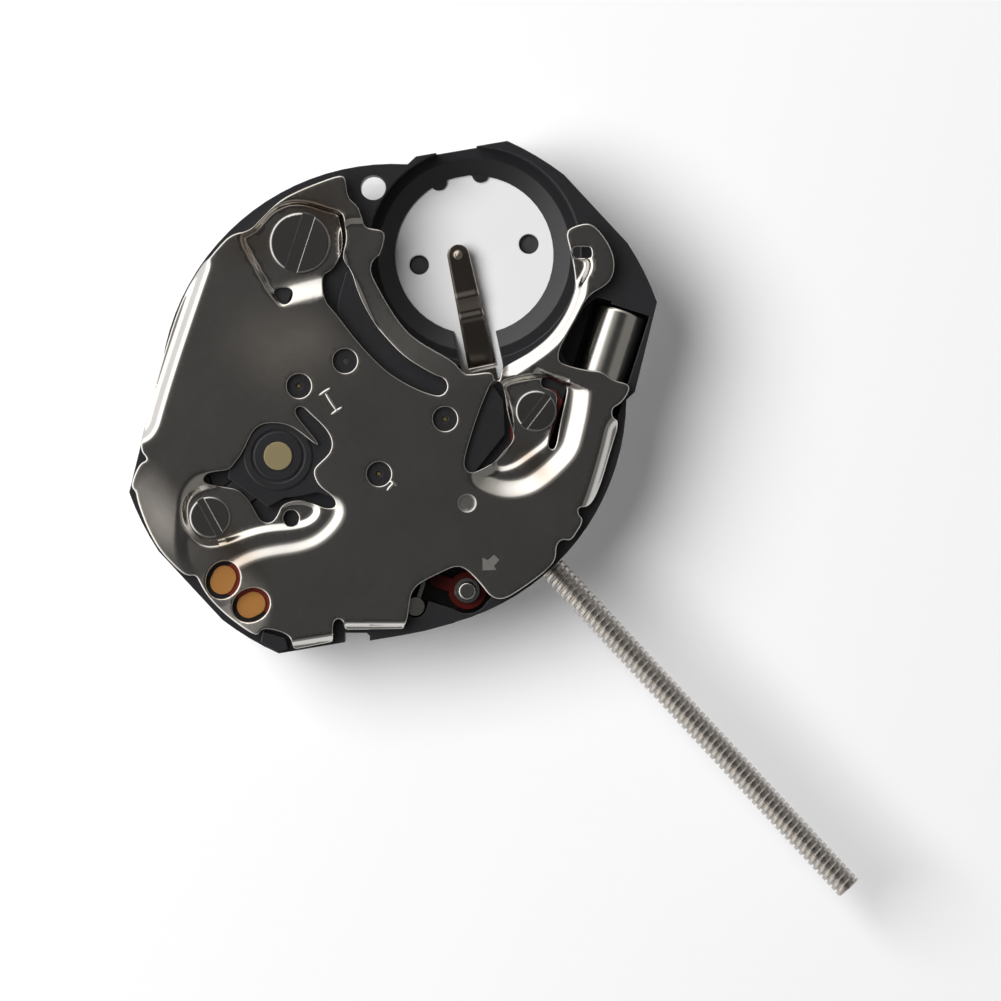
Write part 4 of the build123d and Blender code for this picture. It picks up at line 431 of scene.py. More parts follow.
# Wheels of gilt brass, and the steel pinions, pins and studs that they turn on.
brass = finish("brass", (0.62, 0.50, 0.24), (0.82, 0.68, 0.36), (0.22, 0.36), 1.0, edge=0.03)
dress(brass, "intermediate_wheel", "fifth_wheel", "seconds_wheel", "third_wheel", "centre_wheel")
dress(brass, "cannon_pinion", "hour_wheel", "minute_wheel", "setting_wheel")
dress(steel, "rotor_pinion", "fifth_wheel_stud", "setting_wheel_pin")

# Bridge over the train, in the same black plastic, with the rotor's brass bush pressed in.
dress(black_plastic, "train_bridge")
bush_brass = finish(
    "bush_brass", (0.44, 0.375, 0.21), (0.54, 0.465, 0.275), (0.48, 0.62), 1.0, bump=0.4,
    edge=0.03)
dress(bush_brass, "rotor_bush")

# Setting works: steel levers and pins, a nickel-plated yoke and spring, and the red-lacquered
# setting lever with its post.
nickel_part = finish(
    "nickel_part", (0.50, 0.48, 0.45), (0.66, 0.64, 0.60), (0.16, 0.26), 1.0, bump=0.8,
    streak=0.6, edge=0.03)
lever_red = finish(
    "lever_red", (0.11, 0.009, 0.007), (0.21, 0.022, 0.014), (0.25, 0.4), 0.25, bump=1.5)
dress(steel, "clutch_wheel", "reset_lever", "lever_pins", "setting_lever_post")
dress(nickel_part, "yoke", "jumper_spring")
dress(lever_red, "setting_lever")

# Circuit: a thin dark red board with its chip below, copper-coloured test pads, and the
# drawn metal can of the crystal on two wires.
board = finish("board", (0.085, 0.010, 0.009), (0.17, 0.022, 0.016), (0.3, 0.5), bump=2.0)
chip_resin = finish(
    "chip_resin", (0.015, 0.015, 0.016), (0.03, 0.03, 0.03), (0.4, 0.6), bump=2.0)
copper = finish(
    "copper", (0.36, 0.13, 0.035), (0.56, 0.27, 0.075), (0.35, 0.5), 0.45, bump=1.5)
can_nickel = finish(
    "can_nickel", (0.62, 0.60, 0.56), (0.78, 0.76, 0.71), (0.16, 0.28), 1.0, bump=0.8,
    streak=0.8)
dress(board, "circuit_board")
dress(chip_resin, "chip")
dress(copper, "test_pads", "crystal_leads")
dress(can_nickel, "crystal_can")

# Cover sheet: one stamped nickel-plated sheet with pressed-down parts, rolled edges and bent
# flanges, held by three screws. Outlines are in pixels, depths and radii in millimetres.
SHEET_TOP = 2.80
SHEET_THICKNESS = 0.20
ROLL_RADIUS = 0.045
SHEET_PX = [
    (231, 234), (250, 231), (262, 218), (280, 200), (300, 190), (320, 182), (340, 175),
    (346, 178), (348, 198), (357, 205), (361, 213), (364, 227), (375, 229), (382, 230),
    (385, 235), (383, 246), (380, 255), (374, 259), (371, 265), (371, 273), (376, 284),
    (386, 302), (396, 318), (407, 332), (421, 343), (437, 352), (453, 361), (462, 372),
    (468, 375), (493, 371), (494, 381), (500, 381), (501, 368), (523, 356), (531, 351),
    (548, 338), (562, 320), (571, 302), (576, 285), (573, 262), (569, 246), (566, 235),
    (569, 228), (585, 223), (593, 225), (602, 234), (612, 250), (615, 266), (612, 279),
    (604, 287), (592, 293), (584, 302), (576, 318), (567, 334), (559, 350), (558, 360),
    (563, 364), (585, 370), (602, 371), (612, 380), (630, 384), (628, 394), (620, 404),
    (612, 408), (612, 418), (620, 421), (611, 450), (600, 488), (590, 507), (578, 507),
    (578, 514), (584, 520), (575, 535), (570, 541), (562, 539), (556, 545), (556, 560),
    (545, 572), (520, 590), (503, 600), (490, 597), (480, 583), (465, 568), (455, 566),
    (440, 573), (420, 583), (413, 590), (410, 600), (408, 618), (404.5, 626), (403.5, 628.6),
    (401, 629), (348, 629.6), (345.4, 629.4), (344.6, 627), (343, 621), (338, 618), (333, 622),
    (333.2, 639), (332.6, 641.4), (330, 642.2), (297, 648.8), (294.2, 648.6), (292.8, 646),
    (289, 634), (262, 627), (258, 637), (240, 626), (222, 612), (207, 596), (200, 584),
    (196, 575), (186, 576), (175, 567), (160, 551), (150, 534), (143, 518), (137, 500),
    (136, 492), (131, 487), (133, 478), (140, 463), (149, 460), (139, 449), (146, 418),
    (161, 362), (181, 299), (202, 264), (210, 258), (216, 250),
]
WINDOWS_PX = [
    [
        (338, 214), (343, 214), (345, 228), (346, 240), (343, 252), (343, 260), (349, 268),
        (353, 276), (357, 290), (365, 308), (377, 328), (390, 343), (404, 357), (421, 368),
        (436, 376), (443, 378), (447, 383), (447, 390), (441, 396), (430, 394), (415, 388),
        (400, 380), (385, 370), (365, 350), (350, 332), (335, 312), (324, 300), (322, 275),
        (330, 272), (338, 262), (342, 250), (343, 240), (341, 225),
    ],
    [(273, 291), (279, 302), (285, 305), (291, 301), (293, 292), (290, 288), (278, 288)],
    [
        (490, 385), (494, 381), (500, 381), (505, 392), (507, 410), (510, 422), (514, 435),
        (511, 444), (503, 452), (495, 462), (480, 470), (472, 473), (466, 470), (464, 462),
        (470, 440), (478, 415),
    ],
    [
        (203, 479), (207, 474), (215, 472), (230, 470), (235, 463), (241, 456), (246, 446),
        (250, 437), (255, 429), (263, 424), (275, 423), (287, 425), (297, 430), (318, 447),
        (319, 443), (300, 420), (295, 412), (297, 407), (303, 407), (310, 414), (325, 428),
        (331, 438), (332, 447), (328, 455), (318, 464), (313, 470), (315, 480), (321, 488),
        (332, 496), (336, 503), (334, 508), (325, 508), (312, 503), (300, 500), (288, 502),
        (281, 506), (277, 515), (273, 521), (267, 523), (260, 520), (257, 514), (251, 503),
        (245, 495), (238, 489), (228, 487), (213, 485), (205, 483),
    ],
    [
        (541, 380), (545, 377), (556, 382), (566, 386), (567, 392), (560, 420), (556, 447),
        (551, 450), (548, 445), (551, 430), (558, 400), (556, 392), (548, 388), (542, 387),
    ],
    [
        (573, 248), (575, 247), (588, 247), (591, 248), (592, 256), (590, 258), (577, 258),
        (574, 257),
    ],
]
ROUND_HOLES_PX = [
    ((299, 386), 0.39), ((345, 361), 0.39), ((445, 419), 0.39), ((379, 474), 0.39),
    ((300, 243), 0.34), ((210, 517), 0.34), ((536, 411), 0.34), ((291, 518), 0.25),
]
PAD_HOLES_PX = [((223, 580), 112.0), ((251, 605), 74.0)]
PAD_HOLE_HALVES = (0.63, 0.54)

# Pressed parts, in the order of the press: outline through the middle of the slope, width
# of the slope in pixels, depth to which the part is set, and for a ramp its two ends.
PRESSED_PX = [
    ([(240, 237), (251, 233), (261, 223), (270, 212), (284, 204), (299, 202), (314, 205),
      (327, 210), (341, 213), (343, 228), (344, 240), (342, 252), (340, 261), (331, 274),
      (323, 280), (323, 306), (290, 308), (279, 303), (268, 288),
      (254, 262)], 5, 0.30, ((308, 303), (302, 279))),
    ([(341, 221), (366, 221), (395, 222), (395, 250), (377, 262), (392, 305), (412, 332),
      (440, 350), (463, 362), (466, 378), (444, 386), (421, 374), (404, 363), (375, 328),
      (352, 276), (342, 259)], 7, 0.12, ((468, 380), (358, 282))),
    ([(186, 490), (205, 474), (240, 484), (262, 500), (290, 500), (330, 496), (341, 508),
      (336, 523), (320, 539), (300, 547), (270, 551), (248, 557), (222, 572), (200, 585),
      (180, 560), (182, 520)], 15, 0.13, None),
    ([(90, 474), (128, 474), (150, 500), (172, 536), (198, 560), (226, 580), (250, 610),
      (200, 670), (90, 600)], 64, 0.26, None),
    ([(184, 505), (190, 494), (204, 486), (240, 480), (262, 496), (268, 515), (288, 500),
      (314, 503), (318, 512), (311, 521), (296, 526), (268, 528), (248, 533), (228, 541),
      (207, 546), (193, 538), (185, 522)], 8, 0.28, None),
    ([(545, 330), (581, 330), (581, 384), (581, 396), (579, 412), (575, 430), (570, 449),
      (559, 462), (544, 476), (527, 487), (506, 490), (486, 484), (476, 476), (495, 462),
      (503, 452), (513, 437), (540, 400)], 22, 0.26, ((566, 380), (563.6, 385.5))),
    ([(500, 384), (520, 378), (545, 375), (560, 384), (560, 400), (553, 425), (549, 441),
      (530, 455), (513, 467), (497, 470), (492, 462), (503, 452), (513, 437),
      (507, 400)], 7, 0.34, None),
    ([(506, 374), (528, 360), (551, 343), (566, 325), (576, 306), (581, 288), (581, 270),
      (560, 268), (540, 330), (500, 358)], 15, 0.32, None),
    ([(560, 254), (578, 255), (588, 259), (589, 268), (583, 279), (572, 288),
      (556, 290)], 9, 0.34, None),
    ([(206, 260), (199, 280), (186, 318), (172, 360), (159.5, 400), (149, 438), (120, 438),
      (120, 400), (160, 300), (196, 250)], 15, 0.38, None),
    ([(613, 418), (606, 450), (592, 497), (586, 510), (610, 510), (640, 420)], 13, 0.34, None),
    ([(337, 637), (335, 637.3), (294, 643.8), (292, 644), (290, 662), (337, 658)], 7, 0.30, None),
    ([(408, 625), (406, 625), (347, 625), (345, 625), (343, 645), (408, 645)], 5, 0.28, None),
]

# Stamped marks: two plain raised bars with end ticks, a frosted spot and an arrow.
BARS_PX = [
    [(325, 392), (337, 411)], [(319, 396), (331, 388)], [(331, 415), (343, 407)],
    [(387, 491), (394, 483)], [(391, 481), (397, 486)],
]
BAR_WIDTH = 0.09
BAR_RISE = 0.025
SPOT_PX = (467, 503)
SPOT_RADIUS = 0.31
SPOT_SINK = 0.015
ARROW_PX = [
    (482.5, 557.5), (482.5, 570.3), (496.5, 570.0), (494.0, 566.0), (499.3, 559.8),
    (494.0, 554.5), (488.0, 560.0),
]

# Patches of haze and tarnish, each with its strength, its middle in pixels and its reach along
# and across the movement, and what they and the frosted marks do to colour and roughness. The
# haze is broken up by the fine noise. The flat's faint wave is in micrometres.
FROST_SHARES = (0.3, 0.5)
HAZE_PATCHES = [
    (0.9, (272, 350), (1.5, 1.2)), (0.7, (315, 338), (1.2, 0.8)), (0.6, (160, 525), (1.2, 1.2)),
]
STAIN_PATCHES = [
    (0.8, (316, 218), (1.0, 1.0)), (0.5, (250, 245), (0.7, 0.7)), (0.7, (232, 548), (1.3, 0.5)),
    (0.6, (532, 462), (0.9, 0.4)),
]
STAIN_COLOUR = (0.36, 0.27, 0.19)
HAZE_COLOUR = (0.80, 0.75, 0.69)
FROST_COLOUR = (0.78, 0.77, 0.74)
HAZE_ROUGHNESS = 0.08
FROST_ROUGHNESS = 0.40
HAZE_NOISE = (0.3, 0.7)
HAZE_BREAKUP = (0.8, 1.1)
WAVE_HEIGHT = 12

# How finely the sheet is drawn, in millimetres: steps along outlines, the plain grid, and how
# far the points beside slopes, marks and borders stand from them and from each other.
FAR = 1e9
SMOOTHING_ROUNDS = 3
CORNER_SHARE = 0.25
OUTLINE_STEP = 0.07
PRESSED_STEP = 0.05
ARROW_STEP = 0.025
MARK_SLOPE = 0.03
GRID_CELL = 0.13
SLOPE_SPACING = 0.05
SLOPE_REACH = 0.55
SLOPE_RINGS_LEAST = 6
SLOPE_SLACK = 0.01
SLOPE_CELL = 0.024
MARK_OFFSETS = (-0.03, -0.008, 0.008, 0.03)
MARK_SLACK = 0.006
MARK_CLEARANCE = 0.06
EDGE_OFFSETS = (-0.012, 0.012, -0.03, 0.03, -0.055, 0.055)
EDGE_SLACK = 0.004
EDGE_CLEARANCE = 0.009
INNER_CLEARANCE = 0.075
FINE_CELL = 0.008
JOIN_TOLERANCE = 1e-6


def smoothed(points):
    """Closed outline with its corners cut SMOOTHING_ROUNDS times, at a share of their sides."""
    points = np.array(points, float)
    for _ in range(SMOOTHING_ROUNDS):
        after = np.roll(points, -1, axis=0)
        near, far = (1 - CORNER_SHARE) * points, CORNER_SHARE * points
        pair = [near + CORNER_SHARE * after, far + (1 - CORNER_SHARE) * after]
        points = np.stack(pair, 1).reshape(-1, 2)
    return points


def evenly(points, step):
    """Closed outline with points a step apart."""
    closed = np.vstack([points, points[:1]])
    along = np.concatenate([[0], np.cumsum(np.hypot(*np.diff(closed, axis=0).T))])
    at = np.linspace(0, along[-1], max(8, int(along[-1] / step)), endpoint=False)
    return np.stack([np.interp(at, along, closed[:, 0]), np.interp(at, along, closed[:, 1])], 1)


def outline_mm(pixels, step=OUTLINE_STEP):
    """Smooth outline in millimetres from corners in pixels."""
    return evenly(smoothed([place(pixel) for pixel in pixels]), step)


def oval_mm(centre, halves, turn=0.0, count=40):
    """Oval with its two half widths, turned about its centre."""
    angles = np.linspace(0, 2 * pi, count, endpoint=False)
    x, y = halves[0] * np.cos(angles), halves[1] * np.sin(angles)
    c, s = cos(radians(turn)), sin(radians(turn))
    return np.stack([centre[0] + x * c - y * s, centre[1] + x * s + y * c], 1)


def is_inside(points, outline):
    """Which points lie inside a closed outline: their ray crosses it an odd number of times."""
    inside = np.zeros(len(points), bool)
    x, y = points.T
    for (x0, y0), (x1, y1) in zip(outline, np.roll(outline, -1, axis=0)):
        if y1 != y0:
            inside ^= ((y0 > y) != (y1 > y)) & (x < (x1 - x0) * (y - y0) / (y1 - y0) + x0)
    return inside


def edge_distance(points, outline):
    """Distance of each point from the nearest side of a closed outline."""
    best = np.full(len(points), FAR)
    for start, end in zip(outline, np.roll(outline, -1, axis=0)):
        run = end - start
        share = np.clip(((points - start) @ run) / max(run @ run, 1e-12), 0, 1)
        gap = points - start - share[:, None] * run
        best = np.minimum(best, np.hypot(gap[:, 0], gap[:, 1]))
    return best


def signed_distance(points, outline):
    """Distance from an outline, positive inside it."""
    return edge_distance(points, outline) * np.where(is_inside(points, outline), 1, -1)


def eased(share):
    """Smooth step from 0 to 1."""
    share = np.clip(share, 0, 1)
    return share * share * (3 - 2 * share)


def bar_outline(start, end):
    """Narrow oval round a stroke."""
    a, b = np.array(place(start)), np.array(place(end))
    turn = np.degrees(np.arctan2(*(b - a)[::-1]))
    return oval_mm((a + b) / 2, (np.hypot(*(b - a)) / 2, BAR_WIDTH / 2), turn, 28)


pressed = [
    (outline_mm(pixels, PRESSED_STEP), width * MM_PER_PX, depth, ramp)
    for pixels, width, depth, ramp in PRESSED_PX
]
bars = [bar_outline(*ends) for ends in BARS_PX]
spot = oval_mm(place(SPOT_PX), (SPOT_RADIUS, SPOT_RADIUS))
arrow = evenly(np.array([place(pixel) for pixel in ARROW_PX]), ARROW_STEP)


def depth_at(points):
    """How far the sheet is pressed down at each point: every part sets its own depth inside its
    outline, and the depth eases over the width of its slope and along its ramp if it has one."""
    depth = np.zeros(len(points))
    for outline, width, drop, ramp in pressed:
        share = eased(signed_distance(points, outline) / width + 0.5)
        if ramp:
            start, end = (np.array(place(pixel)) for pixel in ramp)
            run = end - start
            share = np.minimum(share, eased(((points - start) @ run) / (run @ run)))
        depth += (drop - depth) * share
    for outline in bars:
        depth -= BAR_RISE * eased(signed_distance(points, outline) / MARK_SLOPE)
    return depth + SPOT_SINK * eased(signed_distance(points, spot) / MARK_SLOPE)


def rings_round(outline, offsets, slack):
    """Points beside an outline at each offset, without those that a bend brings nearer to it."""
    ahead = np.roll(outline, -1, axis=0) - np.roll(outline, 1, axis=0)
    normal = np.stack([-ahead[:, 1], ahead[:, 0]], 1)
    normal = normal / np.maximum(np.hypot(*ahead.T), 1e-9)[:, None]
    rings = []
    for offset in offsets:
        ring = outline + offset * normal
        rings.append(ring[edge_distance(ring, outline) > abs(offset) - slack])
    return np.vstack(rings)


def thinned(points, cell):
    """One point for each cell of a fine grid."""
    _, first = np.unique(np.round(points / cell).astype(int), axis=0, return_index=True)
    return points[np.sort(first)]


def on_sheet(points, borders):
    """Which points lie inside the outer border and outside every hole."""
    keep = is_inside(points, borders[0])
    for hole in borders[1:]:
        keep &= ~is_inside(points, hole)
    return keep


def sheet_grid(borders):
    """Points of the sheet: rings along borders and slopes, and a plain grid between them."""
    low, high = borders[0].min(0), borders[0].max(0)
    columns, rows = (np.arange(low[i], high[i], GRID_CELL) for i in (0, 1))
    grid = np.stack(np.meshgrid(columns, rows), -1).reshape(-1, 2)
    lines = []
    for outline, width, *_ in pressed:
        count = max(SLOPE_RINGS_LEAST, int(width / SLOPE_SPACING) + 2)
        offsets = np.linspace(-SLOPE_REACH, SLOPE_REACH, count) * width
        lines.append(rings_round(outline, offsets, SLOPE_SLACK))
        grid = grid[edge_distance(grid, outline) > SLOPE_REACH * width + SLOPE_SPACING]
    marks = []
    for outline in bars + [spot, arrow]:
        marks.append(rings_round(outline, MARK_OFFSETS, MARK_SLACK))
        grid = grid[edge_distance(grid, outline) > MARK_CLEARANCE]
    slopes = [thinned(np.vstack(lines), SLOPE_CELL), thinned(np.vstack(marks), FINE_CELL)]
    edge = [rings_round(border, EDGE_OFFSETS, EDGE_SLACK) for border in borders]
    edge = thinned(np.vstack(edge), FINE_CELL)
    inner = np.vstack(slopes + [grid])
    clear, near = np.full(len(inner), FAR), np.full(len(edge), FAR)
    for border in borders:
        clear = np.minimum(clear, edge_distance(inner, border))
        near = np.minimum(near, edge_distance(edge, border))
    points = np.vstack([edge[near > EDGE_CLEARANCE], inner[clear > INNER_CLEARANCE]])
    return points[on_sheet(points, borders)]


def sheet_borders():
    """The outer border, and then those of the windows, the round holes and the pads' holes."""
    borders = [outline_mm(SHEET_PX)] + [outline_mm(pixels) for pixels in WINDOWS_PX]
    borders += [oval_mm(place(pixel), (radius, radius)) for pixel, radius in ROUND_HOLES_PX]
    pads = [oval_mm(place(pixel), PAD_HOLE_HALVES, turn, 44) for pixel, turn in PAD_HOLES_PX]
    return borders + pads


def sheet_mesh():
    """Flat points and faces of the sheet with its holes, joined into triangles."""
    borders = sheet_borders()
    points = np.vstack(borders + [sheet_grid(borders)])
    edges, first = [], 0
    for border in borders:
        edges += [(first + i, first + (i + 1) % len(border)) for i in range(len(border))]
        first += len(border)
    corners = [Vector(point) for point in points]
    verts, _, faces, *_ = delaunay_2d_cdt(corners, edges, [], 0, JOIN_TOLERANCE)
    flat = np.array([(v.x, v.y) for v in verts])
    faces = np.array([tuple(face) for face in faces])
    faces = faces[on_sheet(flat[faces].mean(1), borders)]
    used, faces = np.unique(faces, return_inverse=True)
    return flat[used], faces.reshape(-1, 3), borders


def paint_mask(obj, name, values):
    """Stores a share from 0 to 1 at each point, for the material to read."""
    mask = obj.data.attributes.new(name, "FLOAT", "POINT")
    mask.data.foreach_set("value", values.astype(np.float32))


def blots(points, patches):
    """Sum of soft patches, each the bell curve about its pixel."""
    return sum(
        strength * np.exp(-(((points - place(pixel)) / reach) ** 2).sum(1))
        for strength, pixel, reach in patches)


def add_cover_sheet():
    """The top is the flat sheet less its depth and the roll of its borders. The roll is the
    quarter circle whose radius is ROLL_RADIUS. The underside follows a sheet's thickness lower."""
    flat, faces, borders = sheet_mesh()
    edge = np.min([edge_distance(flat, border) for border in borders], axis=0)
    level = SHEET_TOP - depth_at(flat)
    reach = np.clip(ROLL_RADIUS - edge, 0, ROLL_RADIUS)
    roll = ROLL_RADIUS - np.sqrt(np.maximum(ROLL_RADIUS ** 2 - reach ** 2, 0))
    count = len(flat)
    top = np.column_stack([flat, level - roll])
    points = np.vstack([top, np.column_stack([flat, level - SHEET_THICKNESS])])
    sides = np.vstack([faces[:, [0, 1]], faces[:, [1, 2]], faces[:, [2, 0]]])
    back = {(b, a) for a, b in sides.tolist()}
    walls = [(b, a, a + count, b + count) for a, b in sides.tolist() if (a, b) not in back]
    all_faces = faces.tolist() + (faces[:, ::-1] + count).tolist() + walls
    sheet = add_mesh("cover_sheet", points, all_faces, "movement", sheet_nickel())
    frosted = [
        share * is_inside(flat, outline) for share, outline in zip(FROST_SHARES, (spot, arrow))
    ]
    masks = {
        "frost": np.maximum(*frosted), "haze": blots(flat, HAZE_PATCHES),
        "stain": blots(flat, STAIN_PATCHES),
    }
    for name, values in masks.items():
        paint_mask(sheet, name, np.clip(np.concatenate([values, values * 0]), 0, 1))
    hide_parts("cover_plate")


def sheet_nickel():
    """Nickel of the sheet: the finish of the small parts, with hazy and frosted patches that are
    rougher and paler, brown tarnish in the pressed parts, and a faint wave in the flat."""
    mat = finish(
        "nickel", (0.51, 0.495, 0.475), (0.66, 0.645, 0.615), (0.13, 0.21), 1.0, bump=0.5,
        streak=0.5, edge=0.02)
    nodes, links = mat.node_tree.nodes, mat.node_tree.links
    shader = nodes["Principled BSDF"]
    noise = nodes["noise"]
    masks = {}
    for name in ("frost", "haze", "stain"):
        masks[name] = nodes.new("ShaderNodeAttribute")
        masks[name].attribute_name = name
    colour = shader.inputs["Base Color"].links[0].from_socket
    colour = mixed(nodes, links, masks["stain"].outputs["Fac"], colour, STAIN_COLOUR)
    colour = mixed(nodes, links, masks["haze"].outputs["Fac"], colour, HAZE_COLOUR)
    colour = mixed(nodes, links, masks["frost"].outputs["Fac"], colour, FROST_COLOUR)
    links.new(colour, shader.inputs["Base Color"])
    cloud = nodes.new("ShaderNodeMath")
    cloud.operation = "MULTIPLY"
    links.new(masks["haze"].outputs["Fac"], cloud.inputs[0])
    breakup = ranged(nodes, links, noise.outputs["Fine"], *HAZE_BREAKUP, *HAZE_NOISE)
    links.new(breakup, cloud.inputs[1])
    rough = shader.inputs["Roughness"].links[0].from_socket
    frost = masks["frost"].outputs["Fac"]
    for mask, weight in ((cloud.outputs[0], HAZE_ROUGHNESS), (frost, FROST_ROUGHNESS)):
        add = nodes.new("ShaderNodeMath")
        add.operation = "MULTIPLY_ADD"
        add.inputs[1].default_value = weight
        links.new(mask, add.inputs[0])
        links.new(rough, add.inputs[2])
        rough = add.outputs[0]
    links.new(rough, shader.inputs["Roughness"])
    wave = nodes.new("ShaderNodeBump")
    wave.inputs["Strength"].default_value = 1.0
    wave.inputs["Distance"].default_value = WAVE_HEIGHT * MICROMETRE
    links.new(noise.outputs["Coarse"], wave.inputs["Height"])
    links.new(nodes["relief"].inputs["Normal"].links[0].from_socket, wave.inputs["Normal"])
    links.new(wave.outputs[0], nodes["relief"].inputs["Normal"])
    return mat


add_cover_sheet()

# Cover screws: three slotted steel screws, their heads polished and a little tarnished.
screw_steel = finish(
    "screw_steel", (0.34, 0.335, 0.33), (0.50, 0.49, 0.48), (0.12, 0.20), 1.0, bump=0.5,
    streak=0.3, edge=0.03)
dress(screw_steel, "large_cover_screw", "small_cover_screw", "clamp_screw")

# Stem: one turned steel rod with a pilot, a square, a neck and a journal. Its thread for the
# crown runs round as a helix, so a row of the surface has its own groove at every angle. The
# groove's floor and flanks are shares of the pitch, and a rounding is a distance from the end
# with the radius there.
STEM_HEIGHT = 1.35
STEM_RADIUS = 0.43
PILOT_RADIUS = 0.22
NECK_RADIUS = 0.20
STEM_START = 3.25
SQUARE_START = 4.00
SQUARE_END = 5.45
NECK_START = 5.82
NECK_END = 6.10
THREAD_START = 7.275
THREAD_END = 21.90
THREAD_PITCH = 0.225
THREAD_DEPTH = 0.08
GROOVE_FLOOR = 0.12
GROOVE_FLANK = 0.10
THREAD_ROWS = 20
STEM_AROUND = 40
STEM_STEPS = [
    (STEM_START, PILOT_RADIUS), (SQUARE_START, PILOT_RADIUS), (SQUARE_END, STEM_RADIUS),
    (NECK_START, STEM_RADIUS), (NECK_START, NECK_RADIUS), (NECK_END, NECK_RADIUS),
    (NECK_END, STEM_RADIUS), (THREAD_START, STEM_RADIUS),
]
SQUARE_HALF = 0.24
SQUARE_CORNER = 1.38
THREAD_RUNOUT = 0.05
THREAD_REST = 0.03
SHOULDER_GAP = 5e-4
STEP_NUDGE = 1e-6
PILOT_ROUND = (0.02, 0.19)
END_ROUND = ((0.02, 0.41), (0.0, 0.38))
JOURNAL_ENDS = (6.14, 7.24)


def stem_radius(x, angle):
    """Radius along and round the stem: steps, then a square's straight sides, then the helix,
    where the part of a turn since the last crest gives the depth of the groove."""
    steps = np.array(STEM_STEPS)
    radius = np.interp(x, steps[:, 0] + np.arange(len(steps)) * STEP_NUDGE, steps[:, 1])
    radius = np.repeat(radius[:, None], len(angle), axis=1)
    across = np.maximum(np.abs(np.cos(angle)), np.abs(np.sin(angle)))
    square = (x > SQUARE_START) & (x < SQUARE_END)
    radius[square] = np.minimum(SQUARE_HALF / across, SQUARE_CORNER * SQUARE_HALF)
    turn = ((x[:, None] - THREAD_START) / THREAD_PITCH - angle / (2 * pi)) % 1
    groove = 1 - np.clip((np.abs(turn - 0.5) - GROOVE_FLOOR) / GROOVE_FLANK, 0, 1)
    fade = np.clip((x - THREAD_START) / THREAD_PITCH, 0, 1)
    fade = fade * np.clip((THREAD_END - x) / THREAD_RUNOUT, 0, 1)
    return radius - THREAD_DEPTH * groove * fade[:, None] * (x > THREAD_START)[:, None]


def add_stem():
    """The stem is a grid of distance along it and angle round it, closed by a fan at each end."""
    count = STEM_AROUND
    angle = np.linspace(0, 2 * pi, count, endpoint=False)
    shoulders = (SQUARE_START, SQUARE_END, NECK_START, NECK_END)
    steps = [step + side for step in shoulders for side in (-SHOULDER_GAP, SHOULDER_GAP)]
    thread = np.arange(THREAD_START, THREAD_END - THREAD_REST, THREAD_PITCH / THREAD_ROWS)
    start = [STEM_START, STEM_START + PILOT_ROUND[0]]
    end = [THREAD_END - back for back, _ in END_ROUND]
    x = np.concatenate([start, steps, JOURNAL_ENDS, thread, end])
    radius = stem_radius(x, angle)
    radius[0] = PILOT_ROUND[1]
    radius[-2] = END_ROUND[0][1]
    radius[-1] = END_ROUND[1][1]
    along = np.repeat(x[:, None], count, axis=1)
    rows = [along, radius * np.cos(angle), STEM_HEIGHT + radius * np.sin(angle)]
    ends = [(x[0], 0, STEM_HEIGHT), (x[-1], 0, STEM_HEIGHT)]
    points = np.vstack([np.stack(rows, -1).reshape(-1, 3), ends])
    j = np.arange(count)
    k = (j + 1) % count
    i = np.arange(len(x) - 1)[:, None] * count
    faces = np.stack([i + j, i + k, i + count + k, i + count + j], -1).reshape(-1, 4).tolist()
    last = len(x) * count
    fan = list(zip(j.tolist(), k.tolist()))
    faces += [(last, b, a) for a, b in fan]
    faces += [(last + 1, last - count + a, last - count + b) for a, b in fan]
    stem = add_mesh("threaded_stem", points, faces, "winding_stem", stem_steel)
    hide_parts("stem")


stem_steel = finish(
    "stem_steel", (0.44, 0.415, 0.39), (0.56, 0.53, 0.50), (0.22, 0.32), 1.0, bump=0.8,
    streak=0.3)
add_stem()

# Battery contact: a sprung steel leaf from the well's edge to the middle of the battery, with
# a round tip and a pressed point. Its fixed foot lies in the plate. The leaf's rises stand at
# shares of its length, and its long edges drop a little over the last share of its half width.
LEAF_ROOT_PX = (482, 366)
LEAF_TIP_PX = (458, 254)
LEAF_ROOT_HEIGHT = 0.30
LEAF_THICKNESS = 0.12
LEAF_HALF_WIDTHS = (0.46, 0.36)
LEAF_SHARES = [0.00, 0.40, 0.45, 0.50, 0.58, 0.63, 0.68, 1.00, 1.15]
LEAF_RISES = [0.00, 0.19, 0.240, 0.215, 0.30, 0.350, 0.325, 0.40, 0.40]
POINT_RADIUS = 0.17
POINT_RISE = 0.07
POINT_AHEAD = 0.02
LEAF_ROWS = 130
LEAF_ACROSS = 25
EDGE_SHARE = 0.15
EDGE_DROP = 0.02
TIP_GAP = 0.002


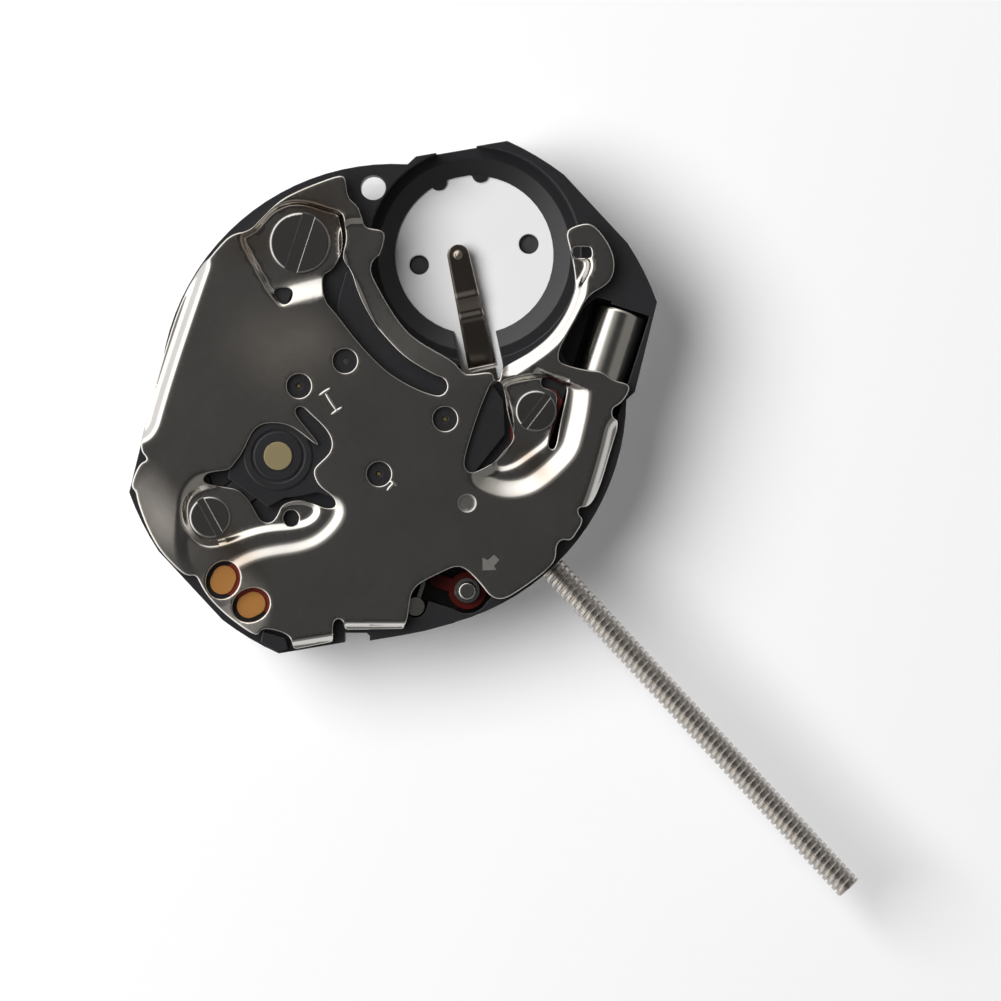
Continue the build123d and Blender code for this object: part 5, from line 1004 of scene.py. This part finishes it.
def add_contact_leaf():
    """The leaf is a grid of distance along it and place across it. Its half width goes from the
    root's to the tip's and then as a semicircle, its height follows the bends, and the contact
    point adds a dome."""
    root, tip = np.array(place(LEAF_ROOT_PX)), np.array(place(LEAF_TIP_PX))
    length = np.hypot(*(tip - root))
    along = (tip - root) / length
    across = np.array([-along[1], along[0]])
    end = length + LEAF_HALF_WIDTHS[1]
    s = end * np.sin(np.linspace(0, pi / 2, LEAF_ROWS))
    s[-1] = end - TIP_GAP
    half = np.interp(s, [0, length], LEAF_HALF_WIDTHS)
    past = np.clip(s - length, 0, None) / LEAF_HALF_WIDTHS[1]
    half = half * np.sqrt(np.clip(1 - past ** 2, 0, 1))
    side = np.linspace(-1, 1, LEAF_ACROSS)
    flat = root + s[:, None, None] * along + (half[:, None] * side)[..., None] * across
    z = LEAF_ROOT_HEIGHT + np.interp(s / length, LEAF_SHARES, LEAF_RISES)[:, None] + 0 * side
    point = tip + along * POINT_AHEAD
    gap = np.hypot(*(np.moveaxis(flat, -1, 0) - point[:, None, None]))
    dome = POINT_RISE * eased(1 - gap / POINT_RADIUS)
    soft = EDGE_DROP * np.clip(np.abs(side) - (1 - EDGE_SHARE), 0, 1) / EDGE_SHARE
    top = np.dstack([flat, z + LEAF_THICKNESS + dome - soft]).reshape(-1, 3)
    under = np.dstack([flat, z]).reshape(-1, 3)
    i, j = np.meshgrid(np.arange(LEAF_ROWS - 1), np.arange(LEAF_ACROSS - 1), indexing="ij")
    a = (i * LEAF_ACROSS + j).ravel()
    upper = np.stack([a, a + LEAF_ACROSS, a + LEAF_ACROSS + 1, a + 1], 1)[:, ::-1]
    n = len(top)
    rim = np.concatenate([
        np.arange(LEAF_ACROSS), np.arange(2, LEAF_ROWS + 1) * LEAF_ACROSS - 1,
        np.arange(LEAF_ROWS * LEAF_ACROSS - 2, (LEAF_ROWS - 1) * LEAF_ACROSS - 1, -1),
        np.arange(LEAF_ROWS - 2, 0, -1) * LEAF_ACROSS,
    ])
    after = np.roll(rim, -1)
    walls = np.stack([rim, after, after + n, rim + n], 1)
    faces = upper.tolist() + (upper[:, ::-1] + n).tolist() + walls.tolist()
    points = np.vstack([top, under])
    leaf = add_mesh("contact_leaf_spring", points, faces, "contact_leaf", leaf_steel)
    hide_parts("battery_contact_spring")


leaf_steel = finish(
    "leaf_steel", (0.30, 0.265, 0.23), (0.44, 0.39, 0.34), (0.12, 0.20), 1.0, bump=0.5,
    streak=0.6)
dress(leaf_steel, "battery_contact_foot")
add_contact_leaf()
